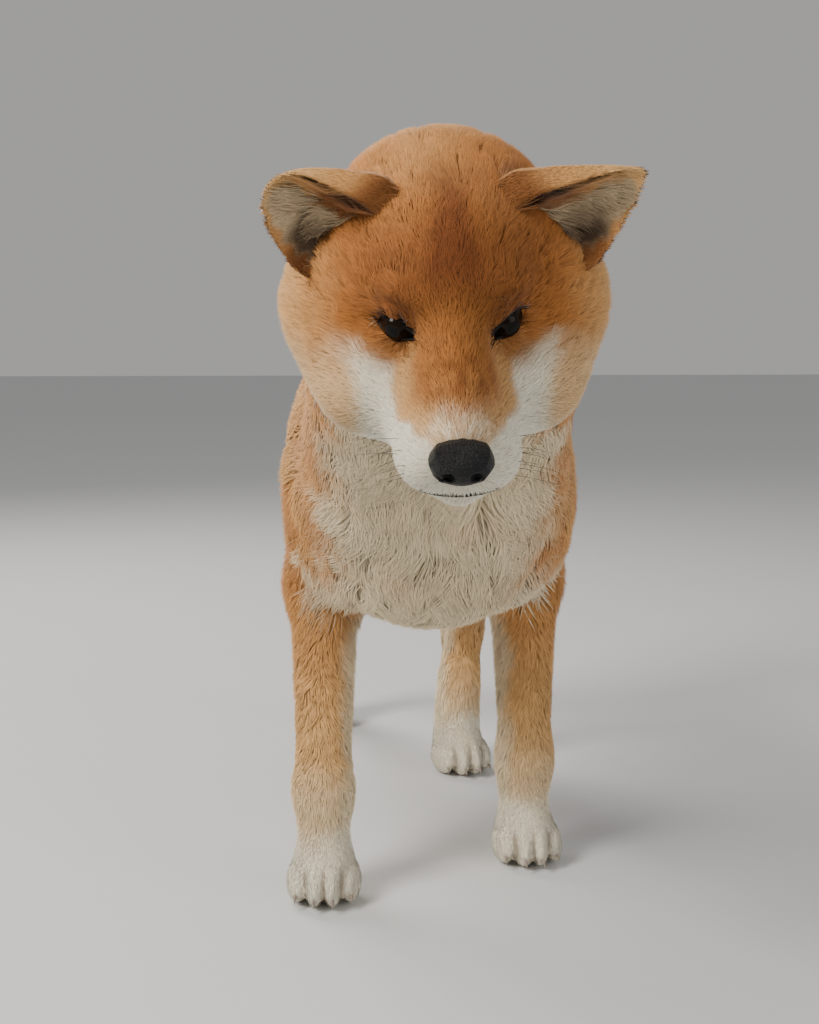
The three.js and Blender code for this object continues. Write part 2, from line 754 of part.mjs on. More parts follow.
function addHindLeg(name, leg) {
  const forms = hindLegForms(leg);
  const space = pawSpace(leg);
  const pasternTop = vec(leg.paw[0], leg.paw[1] + 10, 56).lerp(vec(...leg.heel), 0.3);
  const ankle = pasternTop.applyMatrix4(space.clone().invert()).toArray();
  const thighBody = field(forms.upper);
  const hockBody = field([...forms.lower, ...footForms(space, ankle, 14.5)]);
  const all = thighSleeve(leg, thighBody, 0).subtract(torsoSkin);
  const skin = thighSleeve(leg, thighBody, GAP);
  const shin = vec(...leg.heel).sub(vec(...leg.knee)).normalize();
  const knee = { point: vec(...leg.knee).addScaledVector(shin, 26).toArray(), normal: shin.toArray() };
  const shank = keep(all, knee, 1);
  const clear = joined([torsoSkin, shank, keep(skin, knee, 1, -GAP / 2)]);
  const breeches = joined(breechLocks(thighBody, leg)).subtract(clear);
  const pastern = sleeve({
    body: hockBody,
    line: [leg.heel, [leg.paw[0], leg.paw[1] + 8, 36]],
    rings: 6,
    sides: 12,
    reach: 60,
    startFan: 2,
  });
  addNode(`${name}_thigh`, keep(all, knee, -1).add(breeches), COLOURS.coat);
  addNode(`${name}_shank`, shank, COLOURS.coat);
  addNode(`${name}_hock`, keep(pastern, ANKLE, -1).subtract(skin), COLOURS.coat);
  addPaw(`${name}_paw`, leg, hockBody);
}

// Locks

// Rows of locks round the front of a body. Each row starts its rays at one point and spreads
// them sideways from straight ahead by up to `fan` degrees.
function lockRows(body, rows, { fan, count, seed, ...size }) {
  const random = seeded(seed);
  return rows.flatMap(({ from, tilt }, row) =>
    Array.from({ length: count }, (_, j) => {
      const turn = rad(fan * ((2 * (j + (row % 2) * 0.5)) / (count - 0.5) - 1));
      const toward = [Math.sin(turn), -Math.cos(turn), Math.tan(rad(tilt))];
      return lock(body, rootOn(body, from, toward), [0.6 * Math.sin(turn), 0.3, -1], {
        ...size,
        length: size.length * (0.8 + 0.4 * random()),
        sway: (random() - 0.5) * 0.4,
      });
    }),
  );
}

const CHEST_ROWS = [
  { from: [0, -150, 262], tilt: 0 },
  { from: [0, -150, 240], tilt: 0 },
  { from: [0, -150, 216], tilt: -6 },
];
const RUFF_ROWS = [
  { from: [0, -238, 358], tilt: -40 },
  { from: [0, -212, 338], tilt: -34 },
  { from: [0, -184, 316], tilt: -30 },
];

const chestLocks = () =>
  lockRows(torsoBody, CHEST_ROWS, { fan: 52, count: 5, seed: 3, length: 50, width: 25, lift: 9 });

const ruffLocks = () =>
  lockRows(neckBody, RUFF_ROWS, { fan: 62, count: 5, seed: 5, length: 54, width: 28, lift: 9 });

// Locks along the back edge of one cheek.
function cheekLocks(side) {
  const random = seeded(11);
  const lie = vec(side * 0.3, 0.75, -0.55).transformDirection(HEAD).toArray();
  return Array.from({ length: 5 }, (_, i) => {
    const from = inHead(0, 56, -12 - i * 15);
    const toward = vec(side, 0.05 * i, -0.14 * i).transformDirection(HEAD).toArray();
    return lock(headBody, rootOn(headBody, from, toward), lie, {
      length: 36 + 12 * random(),
      width: 24,
      lift: 8,
    });
  });
}

// The breeches: locks down the back of each thigh.
function breechLocks(body, leg) {
  const random = seeded(leg.side > 0 ? 13 : 17);
  const hip = vec(leg.side * 38, 126, 276);
  const knee = vec(...leg.knee);
  return Array.from({ length: 6 }, (_, i) => {
    const from = hip.clone().lerp(knee, 0.1 + 0.13 * i).toArray();
    const toward = [leg.side * ((i % 2) * 0.6 - 0.1), 1, 0.1];
    return lock(body, rootOn(body, from, toward), [0, 0.5, -1], {
      length: 44 + 12 * random(),
      width: 26,
      lift: 10,
      sway: (random() - 0.5) * 0.3,
    });
  });
}

// The tail's brush: rings of locks that run towards its tip, longest on the outside of the curl.
// The tail is made in three lengths, and no lock reaches far past the end of its own.
const BRUSH = { length: 50, width: 27, lift: 11, round: 6 };
const TAIL_LENGTHS = {
  tail_root: { from: 0.12, to: 0.42, rings: 2 },
  tail_top: { from: 0.42, to: 0.74, rings: 2 },
  tail_tip: { from: 0.74, to: 1, rings: 2 },
};

function brushOf(body, curve, { from, to, rings }, random) {
  const whole = curve.getLength();
  const locks = [];
  for (let i = 0; i < rings; i += 1) {
    for (let j = 0; j < BRUSH.round; j += 1) {
      const t = from + ((to - from) * (i + 0.1 + (j % 2) * 0.4)) / rings;
      const { middle, along, side, up } = frameAt(curve, t);
      const angle = ((j + 0.5) / BRUSH.round) * 2 * Math.PI;
      const toward = side.multiplyScalar(Math.cos(angle)).addScaledVector(up, Math.sin(angle));
      const outside = 0.5 + 0.5 * Math.sin(angle);
      const room = to < 1 ? (to - t) * whole * (1 + 0.3 * outside) + 4 : BRUSH.length;
      locks.push(
        lock(body, rootOn(body, middle.toArray(), toward.toArray()), along.toArray(), {
          length: Math.min(BRUSH.length * (0.7 + 0.3 * outside) * (0.85 + 0.3 * random()), room),
          width: BRUSH.width * (0.85 + 0.3 * random()),
          lift: BRUSH.lift * (0.4 + 0.6 * outside),
          sway: (random() - 0.5) * 0.3,
          steps: 4,
        }),
      );
    }
  }
  return locks;
}

function addTail() {
  const body = field(tailForms());
  const core = sleeve({ body, line: TAIL_LINE, rings: 13, sides: 11, reach: 50, endFan: 2 });
  const curve = new THREE.CatmullRomCurve3(TAIL_LINE.map((p) => vec(...p)));
  const random = seeded(7);
  for (const [name, length] of Object.entries(TAIL_LENGTHS)) {
    const whole = joined([core, ...brushOf(body, curve, length, random)]).subtract(torsoSkin);
    const cutAt = (t) => {
      const { middle, along } = frameAt(curve, t);
      return { point: middle.toArray(), normal: along.toArray() };
    };
    const above = length.from > 0.2 ? keep(whole, cutAt(length.from), 1) : whole;
    const between = length.to < 1 ? keep(above, cutAt(length.to), -1) : above;
    addNode(name, between, COLOURS.coat);
  }
}

const headSkin = headShell(GAP);
const cheeks = joined([...cheekLocks(1), ...cheekLocks(-1)]).subtract(neckSleeve(GAP));
const head = keep(headShell(0), NECK_TO_HEAD, 1).add(keep(cheeks, NECK_TO_HEAD, 1));
addNode("head", withEyes(head).subtract(mouthGroove()), COLOURS.coat);
addNode("nose", noseSolid().subtract(headSkin), COLOURS.skin, 0.45);
for (const [name, side] of [["left", 1], ["right", -1]]) {
  const ball = placed(new THREE.SphereGeometry(EYE_RADIUS, 12, 8), eyeSpace(side));
  addNode(`eye_${name}`, ball, COLOURS.eye, 0.1);
  addNode(`ear_${name}`, earSolid(name, side).subtract(headSkin), COLOURS.coat);
}
const torsoTop = keep(torsoSkin, TORSO_TO_NECK, -1, -GAP / 2);
const ruff = keep(joined(ruffLocks()), NECK_TO_HEAD, -1).subtract(torsoTop);
const neck = keep(keep(neckSleeve(0), NECK_TO_HEAD, -1), TORSO_TO_NECK, 1);
addNode("neck", neck.add(ruff), COLOURS.coat);
const legs = joined([FORE.left, FORE.right].map((leg) => foreLegSleeve(leg, foreLegBody(leg), GAP)));
const bib = keep(joined(chestLocks()), TORSO_TO_NECK, -1).subtract(legs);
addNode("torso", keep(torsoSleeve(0), TORSO_TO_NECK, -1).add(bib), COLOURS.coat);
addTail();
addForeLeg("foreleg_left", FORE.left);
addForeLeg("foreleg_right", FORE.right);
addHindLeg("hindleg_left", HIND.left);
addHindLeg("hindleg_right", HIND.right);

const box = new THREE.Box3().setFromObject(nodes);
const middle = box.getCenter(vec(0, 0, 0));
nodes.position.set(-middle.x, -middle.y, -box.min.z);

export default nodes;
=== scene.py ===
# %% [markdown]
# # A life-size shiba inu
#
# This is a still model of a young red shiba inu. It stands with its head lowered, its ears turned
# out and its tail curled over its back. The solids in the frame give the outline, out to the tips
# of the fur. Here they get a seamless skin, a coat of tufts, eyes, a nose, whiskers and claws.
# Every piece is in metres, in the frame's own coordinates.

# %% The frame
import math

import bpy
import numpy as np
from mathutils import Matrix, Vector
from mathutils.kdtree import KDTree


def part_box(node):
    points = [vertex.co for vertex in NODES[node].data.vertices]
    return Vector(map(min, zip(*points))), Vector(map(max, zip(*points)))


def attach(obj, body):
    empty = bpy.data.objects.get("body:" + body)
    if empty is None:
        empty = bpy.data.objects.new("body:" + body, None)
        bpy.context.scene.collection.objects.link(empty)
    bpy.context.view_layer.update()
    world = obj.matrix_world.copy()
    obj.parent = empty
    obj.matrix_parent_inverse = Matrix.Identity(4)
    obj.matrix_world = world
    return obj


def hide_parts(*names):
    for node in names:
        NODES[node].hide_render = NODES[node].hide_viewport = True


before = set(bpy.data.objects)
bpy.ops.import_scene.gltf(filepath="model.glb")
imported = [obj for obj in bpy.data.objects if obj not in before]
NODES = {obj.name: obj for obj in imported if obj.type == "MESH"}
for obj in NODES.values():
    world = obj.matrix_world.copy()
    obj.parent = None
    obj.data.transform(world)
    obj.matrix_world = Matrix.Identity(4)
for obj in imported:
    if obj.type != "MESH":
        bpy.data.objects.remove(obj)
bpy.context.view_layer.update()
MM = 0.001

# %% [markdown]
# A dog is a set of soft volumes. It could be sculpted by hand, but here the skin is described as
# the solids are, by eggs and rods that melt into each other, so it fits them by itself. Sizes are
# in millimetres, in a body space that faces -Y. The head is turned and lowered, so it has a space
# of its own: its origin lies between the eyes and its -y runs to the nose.

# %% Spaces
WORLD = np.eye(4)


def space(at, turn=(0, 0, 0), within=WORLD):
    """A space placed at a point and turned by degrees about x, then y, then z."""
    local = Matrix.Translation(at)
    for angle, axis in zip(turn, "XYZ"):
        local = local @ Matrix.Rotation(math.radians(angle), 4, axis)
    return within @ np.array(local)


def carry(points, matrix):
    """Points from a space into body space."""
    return np.asarray(points, float) @ matrix[:3, :3].T + matrix[:3, 3]


def into(points, matrix):
    """Points from body space into a space."""
    return carry(points, np.linalg.inv(matrix))


HEAD = space((-5.5, -370, 350), (38, -2, 0))
print("the head's space lies at", HEAD[:3, 3], "in body space")

# %% [markdown]
# The frame's origin is under the middle of the dog, and body space has its own. Only a shift lies
# between them. The left eye's solid is a ball, so the middle of its box says how far that is.

# %% From body space to the frame
SIDES = {"left": 1, "right": -1}
BOTH = tuple(SIDES.values())
EYE_AT = {side: (s * 24.5, 10.5, -5) for side, s in SIDES.items()}
EYE_RADIUS = 10.5

low, high = (np.array(corner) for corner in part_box("eye_left"))
SHIFT = (low + high) / 2 / MM - carry(EYE_AT["left"], HEAD)
print("body space lies at", SHIFT.round(2))


def to_frame(points):
    return (np.asarray(points, float) + SHIFT) * MM


def to_body(points):
    return np.asarray(points, float) / MM - SHIFT


# %% [markdown]
# The camera stands 0.8 m in front of the head and level with it, and looks a little down through a
# long lens. The scene could be lit by a picture of a studio, but square lamps and a plain sky give
# the same soft light and need no file: a big lamp behind the camera's left shoulder, a wide fill
# on the right and a rim from behind. The floor is a pale sheet.

# %% Camera
CAMERA_AT = (-77.5, -1200, 355)
LOOKS_DOWN, LOOKS_ASIDE = 6.6, -3.5
LENS = 59.77


def in_scene(name, data):
    """A new object of the scene."""
    thing = bpy.data.objects.new(name, data)
    bpy.context.scene.collection.objects.link(thing)
    return thing


camera_data = bpy.data.cameras.new("camera")
camera_data.sensor_width = 36
camera_data.lens = LENS
camera = in_scene("camera", camera_data)
camera.location = to_frame(CAMERA_AT)
camera.rotation_euler = (math.radians(90 - LOOKS_DOWN), 0, math.radians(LOOKS_ASIDE))
bpy.context.scene.camera = camera
print("camera at", [round(x, 3) for x in camera.location], "with a lens of", LENS, "mm")

# %% Lamps and sky
def add_lamp(name, at, aim, size, power, colour):
    data = bpy.data.lights.new(name, "AREA")
    data.size, data.energy, data.color = size, power, colour
    lamp = in_scene(name, data)
    lamp.location = at
    lamp.rotation_euler = (Vector(aim) - Vector(at)).to_track_quat("-Z", "Y").to_euler()
    print("lamp", name, power, "W")


def set_inputs(node, values):
    """Sets sockets of a node by their names."""
    for socket, value in values.items():
        node.inputs[socket].default_value = value


add_lamp("key", (-1.3, -0.9, 1.5), (0, -0.2, 0.25), 0.8, 44, (1.0, 0.95, 0.87))
add_lamp("fill", (1.6, -1.6, 0.9), (0, -0.2, 0.25), 1.6, 16, (1.0, 0.98, 0.95))
add_lamp("rim", (-0.7, 1.3, 1.4), (0, -0.1, 0.3), 0.8, 22, (1.0, 0.95, 0.88))

world = bpy.data.worlds.new("studio")
bpy.context.scene.world = world
world.use_nodes = True
set_inputs(world.node_tree.nodes["Background"], {"Color": (0.93, 0.92, 0.9, 1), "Strength": 0.42})

# %% Floor
def new_material(name, values):
    """A material whose shader has these inputs."""
    material = bpy.data.materials.new(name)
    material.use_nodes = True
    set_inputs(material.node_tree.nodes["Principled BSDF"], values)
    return material


bpy.ops.mesh.primitive_plane_add(size=14, location=(0, 2, -0.0006))
floor = bpy.context.object
floor.name = "floor"
pale = new_material("pale_floor", {"Base Color": (0.62, 0.63, 0.64, 1), "Roughness": 0.75})
floor.data.materials.append(pale)
print("floor", tuple(floor.dimensions))

# %% [markdown]
# Flesh under fur has no edges: one form runs into the next. Metaballs do that too, but they can't
# be pressed in and their surface is hard to steer. So each form is a signed distance, negative
# inside. A field melts a list of forms together, and a hollow is a form pressed into the ones
# before it. The field is zero on the outside of the coat, and the skin lies below that.

# %% Forms: eggs and rods
def blob(at, size, blend, turn=(0, 0, 0), within=WORLD, hollow=False):
    """An egg: its middle, its three radii and the width of the fillet that it makes."""
    matrix = space(at, turn, within)
    inverse = np.linalg.inv(matrix)
    radii = np.array(size, float)

    def distance(p):
        u = (p @ inverse[:3, :3].T + inverse[:3, 3]) / radii
        k = np.linalg.norm(u, axis=1)
        return k * (k - 1) / np.maximum(np.linalg.norm(u / radii, axis=1), 1e-9)

    return distance, blend, hollow, matrix[:3, 3], radii.max()


def rod(start, end, start_radius, end_radius, blend, within=WORLD):
    """A tapering rod with round ends."""
    a, b = carry(start, within), carry(end, within)
    length = np.linalg.norm(b - a)
    along = (b - a) / length
    lean = (start_radius - end_radius) / length
    upright = math.sqrt(1 - lean * lean)

    def distance(p):
        h = (p - a) @ along
        side = np.sqrt(np.maximum(((p - a) ** 2).sum(1) - h * h, 0))
        slide = h + side * lean / upright
        middle = side * upright + h * lean - start_radius
        low = np.hypot(side, h) - start_radius
        high = np.hypot(side, h - length) - end_radius
        return np.where(slide < 0, low, np.where(slide > length, high, middle))

    return distance, blend, False, (a + b) / 2, length / 2 + max(start_radius, end_radius)


ball = blob((0, 0, 0), (10, 10, 10), 1)
print("13 mm from the middle of a ball of 10 is outside by", ball[0](np.array([(13, 0, 0)])))

# %% Fields
def field(forms, margin=40):
    """One body from many forms. A form is left out where it is further off than the margin."""

    def at(points):
        p = np.asarray(points, float)
        d = np.full(len(p), 1e3)
        for distance, blend, hollow, middle, reach in forms:
            near = np.flatnonzero(((p - middle) ** 2).sum(1) < (reach + margin) ** 2)
            e = distance(p[near]) * (-1 if hollow else 1)
            old = d[near]
            fillet = np.maximum(blend - np.abs(old - e), 0) ** 2 / blend / 4
            d[near] = np.maximum(old, e) + fillet if hollow else np.minimum(old, e) - fillet
        return d

    return at


def unit(v):
    return v / np.maximum(np.linalg.norm(v, axis=-1, keepdims=True), 1e-9)


def slope(body, points, step=0.6):
    """The field at each point, and the direction in which it grows fastest."""
    here = body(points)
    moves = [body(points + np.eye(3)[i] * step) - here for i in range(3)]
    return here, unit(np.stack(moves, 1))


print("and the field round it grows towards", slope(field([ball]), np.array([(13.0, 0, 0)]))[1])

# %% [markdown]
# The head is a broad skull with full cheeks of fur and a short, straight muzzle, and the brows
# overhang the small slanting eyes. Eggs give the skull, cheeks, brows and lips, and rods the
# bridge and the jaw. A pair of hollows makes the stop beside the bridge.

# %% Forms of the head
MUZZLE = 62


def in_head(at, size, blend, **more):
    return blob(at, size, blend, within=HEAD, **more)


skull_forms = [
    in_head((0, 50, -2), (50, 54, 51), 20),
    in_head((0, 90, 0), (52, 42, 46), 20),
    *(in_head((s * 17, 16, 12), (18, 14, 10), 14) for s in BOTH),
    *(in_head((s * 46, 54, -28), (41, 43, 44), 22) for s in BOTH),
    *(in_head((s * 40, 14, -44), (30, 34, 26), 22) for s in BOTH),
    *(in_head((s * 27, 21, -33), (24, 24, 20), 14) for s in BOTH),
    in_head((0, 46, -52), (56, 50, 36), 24),
]
muzzle_forms = [
    rod((0, 10, -36), (0, -MUZZLE + 14, -38), 29, 22, 16, HEAD),
    rod((0, 12, -12), (0, -MUZZLE + 6, -24), 14, 10.5, 14, HEAD),
    rod((0, 24, 8), (0, -22, -17), 16, 12, 18, HEAD),
    *(in_head((s * 13.5, -MUZZLE + 15, -41), (17.5, 22, 14), 8) for s in BOTH),
    rod((0, 0, -52), (0, -MUZZLE + 3, -54), 19, 8.5, 8, HEAD),
    *(rod((s * 24, 6, -46), (s * 9, -46, -45), 21, 14, 12, HEAD) for s in BOTH),
    *(in_head((s * 36, -7, -3), (14, 12, 7), 12, hollow=True) for s in BOTH),
]
print("forms of the skull", len(skull_forms), "and of the muzzle", len(muzzle_forms))

# %% [markdown]
# The eyes look forward and outward, and each shows as an almond between its lids, tilted up to
# the outer corner. Lids could be modelled as two folds. Pressing the almond into the skin as
# a hollow is simpler, and keeps the skin one closed surface. The eyeball sits in it later.

# %% Eyes: where they look, and the almond
# Half the almond's width, how far it goes up and down from its axis, and the slope of the axis.
LID = {"half": 12.2, "rise": 3.3, "drop": 2.7, "tilt": 0.1}
LID_THICK = 1.6
ALMOND_DEEP = 2


def eye_space(side):
    """+z looks out of the eye and +x runs to its outer corner."""
    s = SIDES[side]
    out = Vector((s * 0.5, -0.85, 0.12)).normalized()
    across = Vector((s * 0.74, 0.62, 0.2))
    across = (across - out * across.dot(out)).normalized()
    basis = Matrix((across, out.cross(across), out)).transposed().to_4x4()
    return HEAD @ np.array(Matrix.Translation(EYE_AT[side]) @ basis)


EYES = {side: eye_space(side) for side in SIDES}


def almond(x, y):
    """How far a point is outside the almond, seen along the gaze."""
    arch = 1 - np.minimum((x / LID["half"]) ** 2, 1)
    up = y - LID["tilt"] * x
    beyond = np.maximum(np.abs(x) - LID["half"], 0)
    return np.maximum(np.maximum(up - LID["rise"] * arch, -LID["drop"] * arch - up), beyond)


def eye_hollow(side):
    def distance(p):
        q = into(p, EYES[side])
        return np.maximum(almond(q[:, 0], q[:, 1]), -ALMOND_DEEP - q[:, 2])

    return distance, 1.0, True, EYES[side][:3, 3], 16.0


eye_forms = [blob((0, 0, 0), [EYE_RADIUS + LID_THICK] * 3, 5, within=EYES[s]) for s in SIDES]
eye_forms += [eye_hollow(side) for side in SIDES]
print("the left eye looks along", EYES["left"][:3, 2].round(2))

# %% [markdown]
# The trunk is short and deep: a broad chest, a straight back, and a strong neck in a ruff of fur.
# A lofted tube would need its rings set by hand where the legs and the neck join. Large eggs with
# wide fillets give the shoulder, the loin and the rump without a seam.

# %% Forms of the neck and trunk
neck_forms = [
    rod((0, -120, 282), (-5.5, -284, 382), 78, 67, 30),
    blob((0, -196, 262), (68, 46, 66), 36, (30, 0, 0)),
    *(rod((s * 34, -262, 322), (s * 26, -190, 262), 42, 42, 30) for s in BOTH),
]
torso_forms = [
    blob((0, -62, 268), (80, 128, 94), 30),
    blob((0, -152, 238), (64, 60, 70), 36),
    blob((0, -168, 214), (56, 42, 46), 30),
    blob((0, -96, 314), (46, 78, 52), 36),
    *(blob((s * 50, -128, 246), (34, 54, 74), 26, (-22, 0, 0)) for s in BOTH),
    blob((0, 66, 288), (66, 112, 72), 40),
    blob((0, 142, 294), (60, 64, 66), 40),
]
print("forms of the neck", len(neck_forms), "and of the trunk", len(torso_forms))

# %% [markdown]
# The dog stands with its right foreleg set forward and its right hind leg stretched back. Each leg
# is a chain of rods from joint to joint, as an armature would have bones, and each paw has four
# round toes with grooves between them. A table gives each leg's own joints, so two functions make
# all four.

# %% Forms of the paws
LEGS = {
    "foreleg_left": dict(
        side=1, paw=(65, -116), wrist=(66, -103, 62), elbow=(65, -98, 190), yaw=4),
    "foreleg_right": dict(
        side=-1, paw=(-68, -184), wrist=(-68, -166, 62), elbow=(-66, -112, 190), yaw=-2),
    "hindleg_left": dict(
        side=1, paw=(41, 106), heel=(47, 140, 104), knee=(51, 68, 196), yaw=14),
    "hindleg_right": dict(
        side=-1, paw=(-60, 264), heel=(-57, 266, 110), knee=(-54, 162, 188), yaw=-6),
}
PAW_WIDTH, PAW_REACH = 46, 34
TOE_SHARE = 0.24


def paw_space(leg):
    return space((*leg["paw"], 0), (0, 0, leg["yaw"]))


def paw_forms(leg, ankle, radius):
    within = paw_space(leg)
    top = into([ankle], within)[0]
    forms = [blob((0, -6, 15), (19, 24, 17), 10, within=within)]
    forms.append(rod((0, 6, 22), top, 17, radius, 16, within))
    for index in (-1.5, -0.5, 0.5, 1.5):
        outer = abs(index) > 1
        across, back = index * PAW_WIDTH * TOE_SHARE, 25 if outer else 18
        at = (across, -PAW_REACH + back, 11 if outer else 12.5)
        size = (PAW_WIDTH / 6.4, 17 if outer else 19, 12.5 if outer else 14)
        forms.append(blob(at, size, 3, (8 if outer else 12, 0, index * -5), within))
    return forms


print("toes are", PAW_WIDTH * TOE_SHARE, "mm apart")

# %% Forms of the legs
def foreleg_forms(leg):
    s, elbow, wrist = leg["side"], leg["elbow"], leg["wrist"]
    return [
        blob((s * 50, -134, 248), (33, 44, 50), 26, (-20, 0, 0)),
        rod((s * 52, -138, 236), elbow, 34, 25, 24),
        blob((elbow[0], elbow[1] + 6, elbow[2] - 4), (23, 28, 30), 16),
        rod((elbow[0], elbow[1], elbow[2] - 14), wrist, 24, 17, 18),
        *paw_forms(leg, wrist, 17),
    ]


def hindleg_forms(leg):
    s, knee, heel, paw = leg["side"], leg["knee"], leg["heel"], leg["paw"]
    ankle = np.array((paw[0], paw[1] + 10, 56)) * 0.7 + np.array(heel) * 0.3
    return [
        blob((s * 36, 122, 274), (42, 62, 62), 26),
        rod((s * 36, 126, 268), knee, 44, 31, 34),
        rod(knee, heel, 31, 15, 26),
        blob((heel[0], heel[1] + 3, heel[2]), (14, 15, 18), 12),
        rod(heel, (paw[0], paw[1] + 16, 34), 14.5, 14.5, 12),
        *paw_forms(leg, ankle, 14.5),
    ]


leg_forms = {
    name: foreleg_forms(leg) if "elbow" in leg else hindleg_forms(leg) for name, leg in LEGS.items()
}
print("forms of each leg", [len(forms) for forms in leg_forms.values()])

# %% [markdown]
# The tail rises from the rump, curls over the back and hangs down beside it, as a thick brush. A
# curve with a bevel could draw it, but it has to melt into the rump, so it is a chain of rods too.
# All the forms together are the outside of the coat, and each part of the body keeps its own list.

# %% Forms of the tail, and the whole coat
TAIL_LINE = np.array(
    [(0, 166, 314), (0, 194, 350), (2, 203, 390), (7, 188, 421)]
    + [(15, 154, 435), (25, 118, 425), (32, 97, 400), (34, 97, 384)],
    float,
)
TAIL_RADII = [23, 26, 29, 31, 31, 27, 18, 12]
tail_forms = [
    rod(TAIL_LINE[i], TAIL_LINE[i + 1], TAIL_RADII[i], TAIL_RADII[i + 1], 12)
    for i in range(len(TAIL_RADII) - 1)
]

GROUPS = {
    "torso": torso_forms,
    "neck": neck_forms,
    "head": skull_forms + muzzle_forms + eye_forms,
    **leg_forms,
    "tail": tail_forms,
}
coat_surface = field([form for forms in GROUPS.values() for form in forms])
print("forms", {name: len(forms) for name, forms in GROUPS.items()})

# %% [markdown]
# Under the fur is one closed skin. All the solids of flesh are fused by a voxel remesh, which
# gives even quads with no seams, where a boolean union would leave long thin faces. Eyes, nose and
# claws stay out of it, because they are hard or wet and get pieces of their own.

# %% Meshes in and out of arrays
def read(items, attribute, width, kind=np.float32):
    """An attribute of a mesh's points, edges or faces, one row for each."""
    values = np.empty(len(items) * width, kind)
    items.foreach_get(attribute, values)
    return values.reshape(-1, width)


def new_mesh(name, points, faces, sides=3):
    """A mesh from arrays: points in metres, and faces that all have the same number of sides."""
    mesh = bpy.data.meshes.new(name)
    mesh.vertices.add(len(points))
    mesh.vertices.foreach_set("co", np.asarray(points, np.float32).ravel())
    mesh.loops.add(len(faces) * sides)
    mesh.loops.foreach_set("vertex_index", np.asarray(faces, np.int32).ravel())
    mesh.polygons.add(len(faces))
    mesh.polygons.foreach_set("loop_start", np.arange(len(faces), dtype=np.int32) * sides)
    mesh.polygons.foreach_set("use_smooth", np.ones(len(faces), bool))
    mesh.update(calc_edges=True)
    return mesh


def add_piece(name, mesh, material=None, stands_for=()):
    """A piece of the dog. stands_for names the solids that it replaces."""
    if material:
        mesh.materials.clear()
        mesh.materials.append(material)
    piece = in_scene(name, mesh)
    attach(piece, "root")
    if stands_for:
        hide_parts(*stands_for)
    print(name, len(mesh.polygons), "faces")
    return piece


print("the nose's solid has", len(read(NODES["nose"].data.vertices, "co", 3)), "points")

# %% The skin's first mesh
CLAWS = sorted(name for name in NODES if "claw" in name)
FLESH = sorted(set(NODES) - set(CLAWS) - {"eye_left", "eye_right", "nose"})
VOXEL = 0.0022


def fused(names, voxel, smooth):
    """The solids of these names as one remeshed mesh, smoothed that many times."""
    points, faces, start = [], [], 0
    for name in names:
        mesh = NODES[name].data
        mesh.calc_loop_triangles()
        points.append(read(mesh.vertices, "co", 3))
        faces.append(read(mesh.loop_triangles, "vertices", 3, np.int32) + start)
        start += len(points[-1])
    rough = in_scene("rough", new_mesh("rough", np.vstack(points), np.vstack(faces)))
    remesh = rough.modifiers.new("fuse", "REMESH")
    remesh.mode = "VOXEL"
    remesh.voxel_size = voxel
    relax = rough.modifiers.new("relax", "SMOOTH")
    relax.iterations = smooth
    relax.factor = 0.5
    evaluated = rough.evaluated_get(bpy.context.evaluated_depsgraph_get())
    mesh = bpy.data.meshes.new_from_object(evaluated)
    bpy.data.objects.remove(rough)
    return mesh


skin_mesh = fused(FLESH, VOXEL, 2)
print("skin from", len(FLESH), "solids:", len(skin_mesh.polygons), "faces")

# %% [markdown]
# Masks that fade are the main tool from here on, for depth, colour and the lie of the fur. Nodes
# can do the same with ramps and mixes. Arrays are used instead, because the skin and every tuft
# then read one rule, and the results are stored on the meshes.

# %% Ramps, mixes and places
def ramp(value, low, high):
    """0 below low, 1 above high, smooth between."""
    t = np.clip((value - low) / (high - low), 0, 1)
    return t * t * (3 - 2 * t)


def mix(a, b, t):
    return a * (1 - t) + b * t


def near(points, at, radius):
    """1 at a place, fading to 0 at about twice the radius."""
    return np.exp(-((points - np.asarray(at, float)) ** 2).sum(1) / radius**2)


print("half way up a ramp:", ramp(np.array([5.0]), 0, 10))

# %% Parts of the body
group_fields = {name: field(forms, 400) for name, forms in GROUPS.items()}
GROUP_NAMES = list(GROUPS)


def group_of(points):
    """Which part of the body each point belongs to, as a number in GROUP_NAMES."""
    distances = np.stack([group_fields[name](points) for name in GROUP_NAMES], 1)
    return distances.argmin(1)


def along_tail(points):
    """How far along the tail each point is, from 0 to 1, and the tail's radius there."""
    best = np.full(len(points), 1e9)
    way = np.zeros(len(points))
    for i in range(len(TAIL_LINE) - 1):
        a, b = TAIL_LINE[i], TAIL_LINE[i + 1]
        t = np.clip((points - a) @ (b - a) / ((b - a) @ (b - a)), 0, 1)
        off = np.linalg.norm(points - a - t[:, None] * (b - a), axis=1)
        better = off < best
        best = np.where(better, off, best)
        way = np.where(better, (i + t) / (len(TAIL_LINE) - 1), way)
    return way, np.interp(way, np.linspace(0, 1, len(TAIL_RADII)), TAIL_RADII)


print("parts", GROUP_NAMES)

# %% [markdown]
# A shiba's coat is short on the face and feet, long on the neck and body, and on the tail it is
# half of the brush. The skin could lie one depth under the coat all over, but then the muzzle
# would shrink and the tail stay bare. So each part gets its own depth.

# %% The coat's depth
def coat_depth(points, group):
    """The depth of the coat over the skin, in millimetres."""
    q = into(points, HEAD)
    face = mix(1.6, 6.0, ramp(q[:, 1], -10, 75))
    cheek = ramp(np.abs(q[:, 0]), 48, 80) * 1.5
    legs = mix(2.0, 7.0, ramp(points[:, 2], 40, 260))
    way, radius = along_tail(points)
    depth = {
        "head": face + cheek,
        "neck": np.full(len(points), 9.0),
        "torso": np.full(len(points), 8.0),
        "tail": radius * 0.5 * ramp(way, 0, 0.1) + 6 * (1 - ramp(way, 0, 0.1)),
    }
    table = np.stack([depth.get(name, legs) for name in GROUP_NAMES], 1)
    return table[np.arange(len(points)), group]


brow = carry([(0, 30, 40)], HEAD)
print("the coat on the brow is", coat_depth(brow, group_of(brow)).round(1), "mm deep")

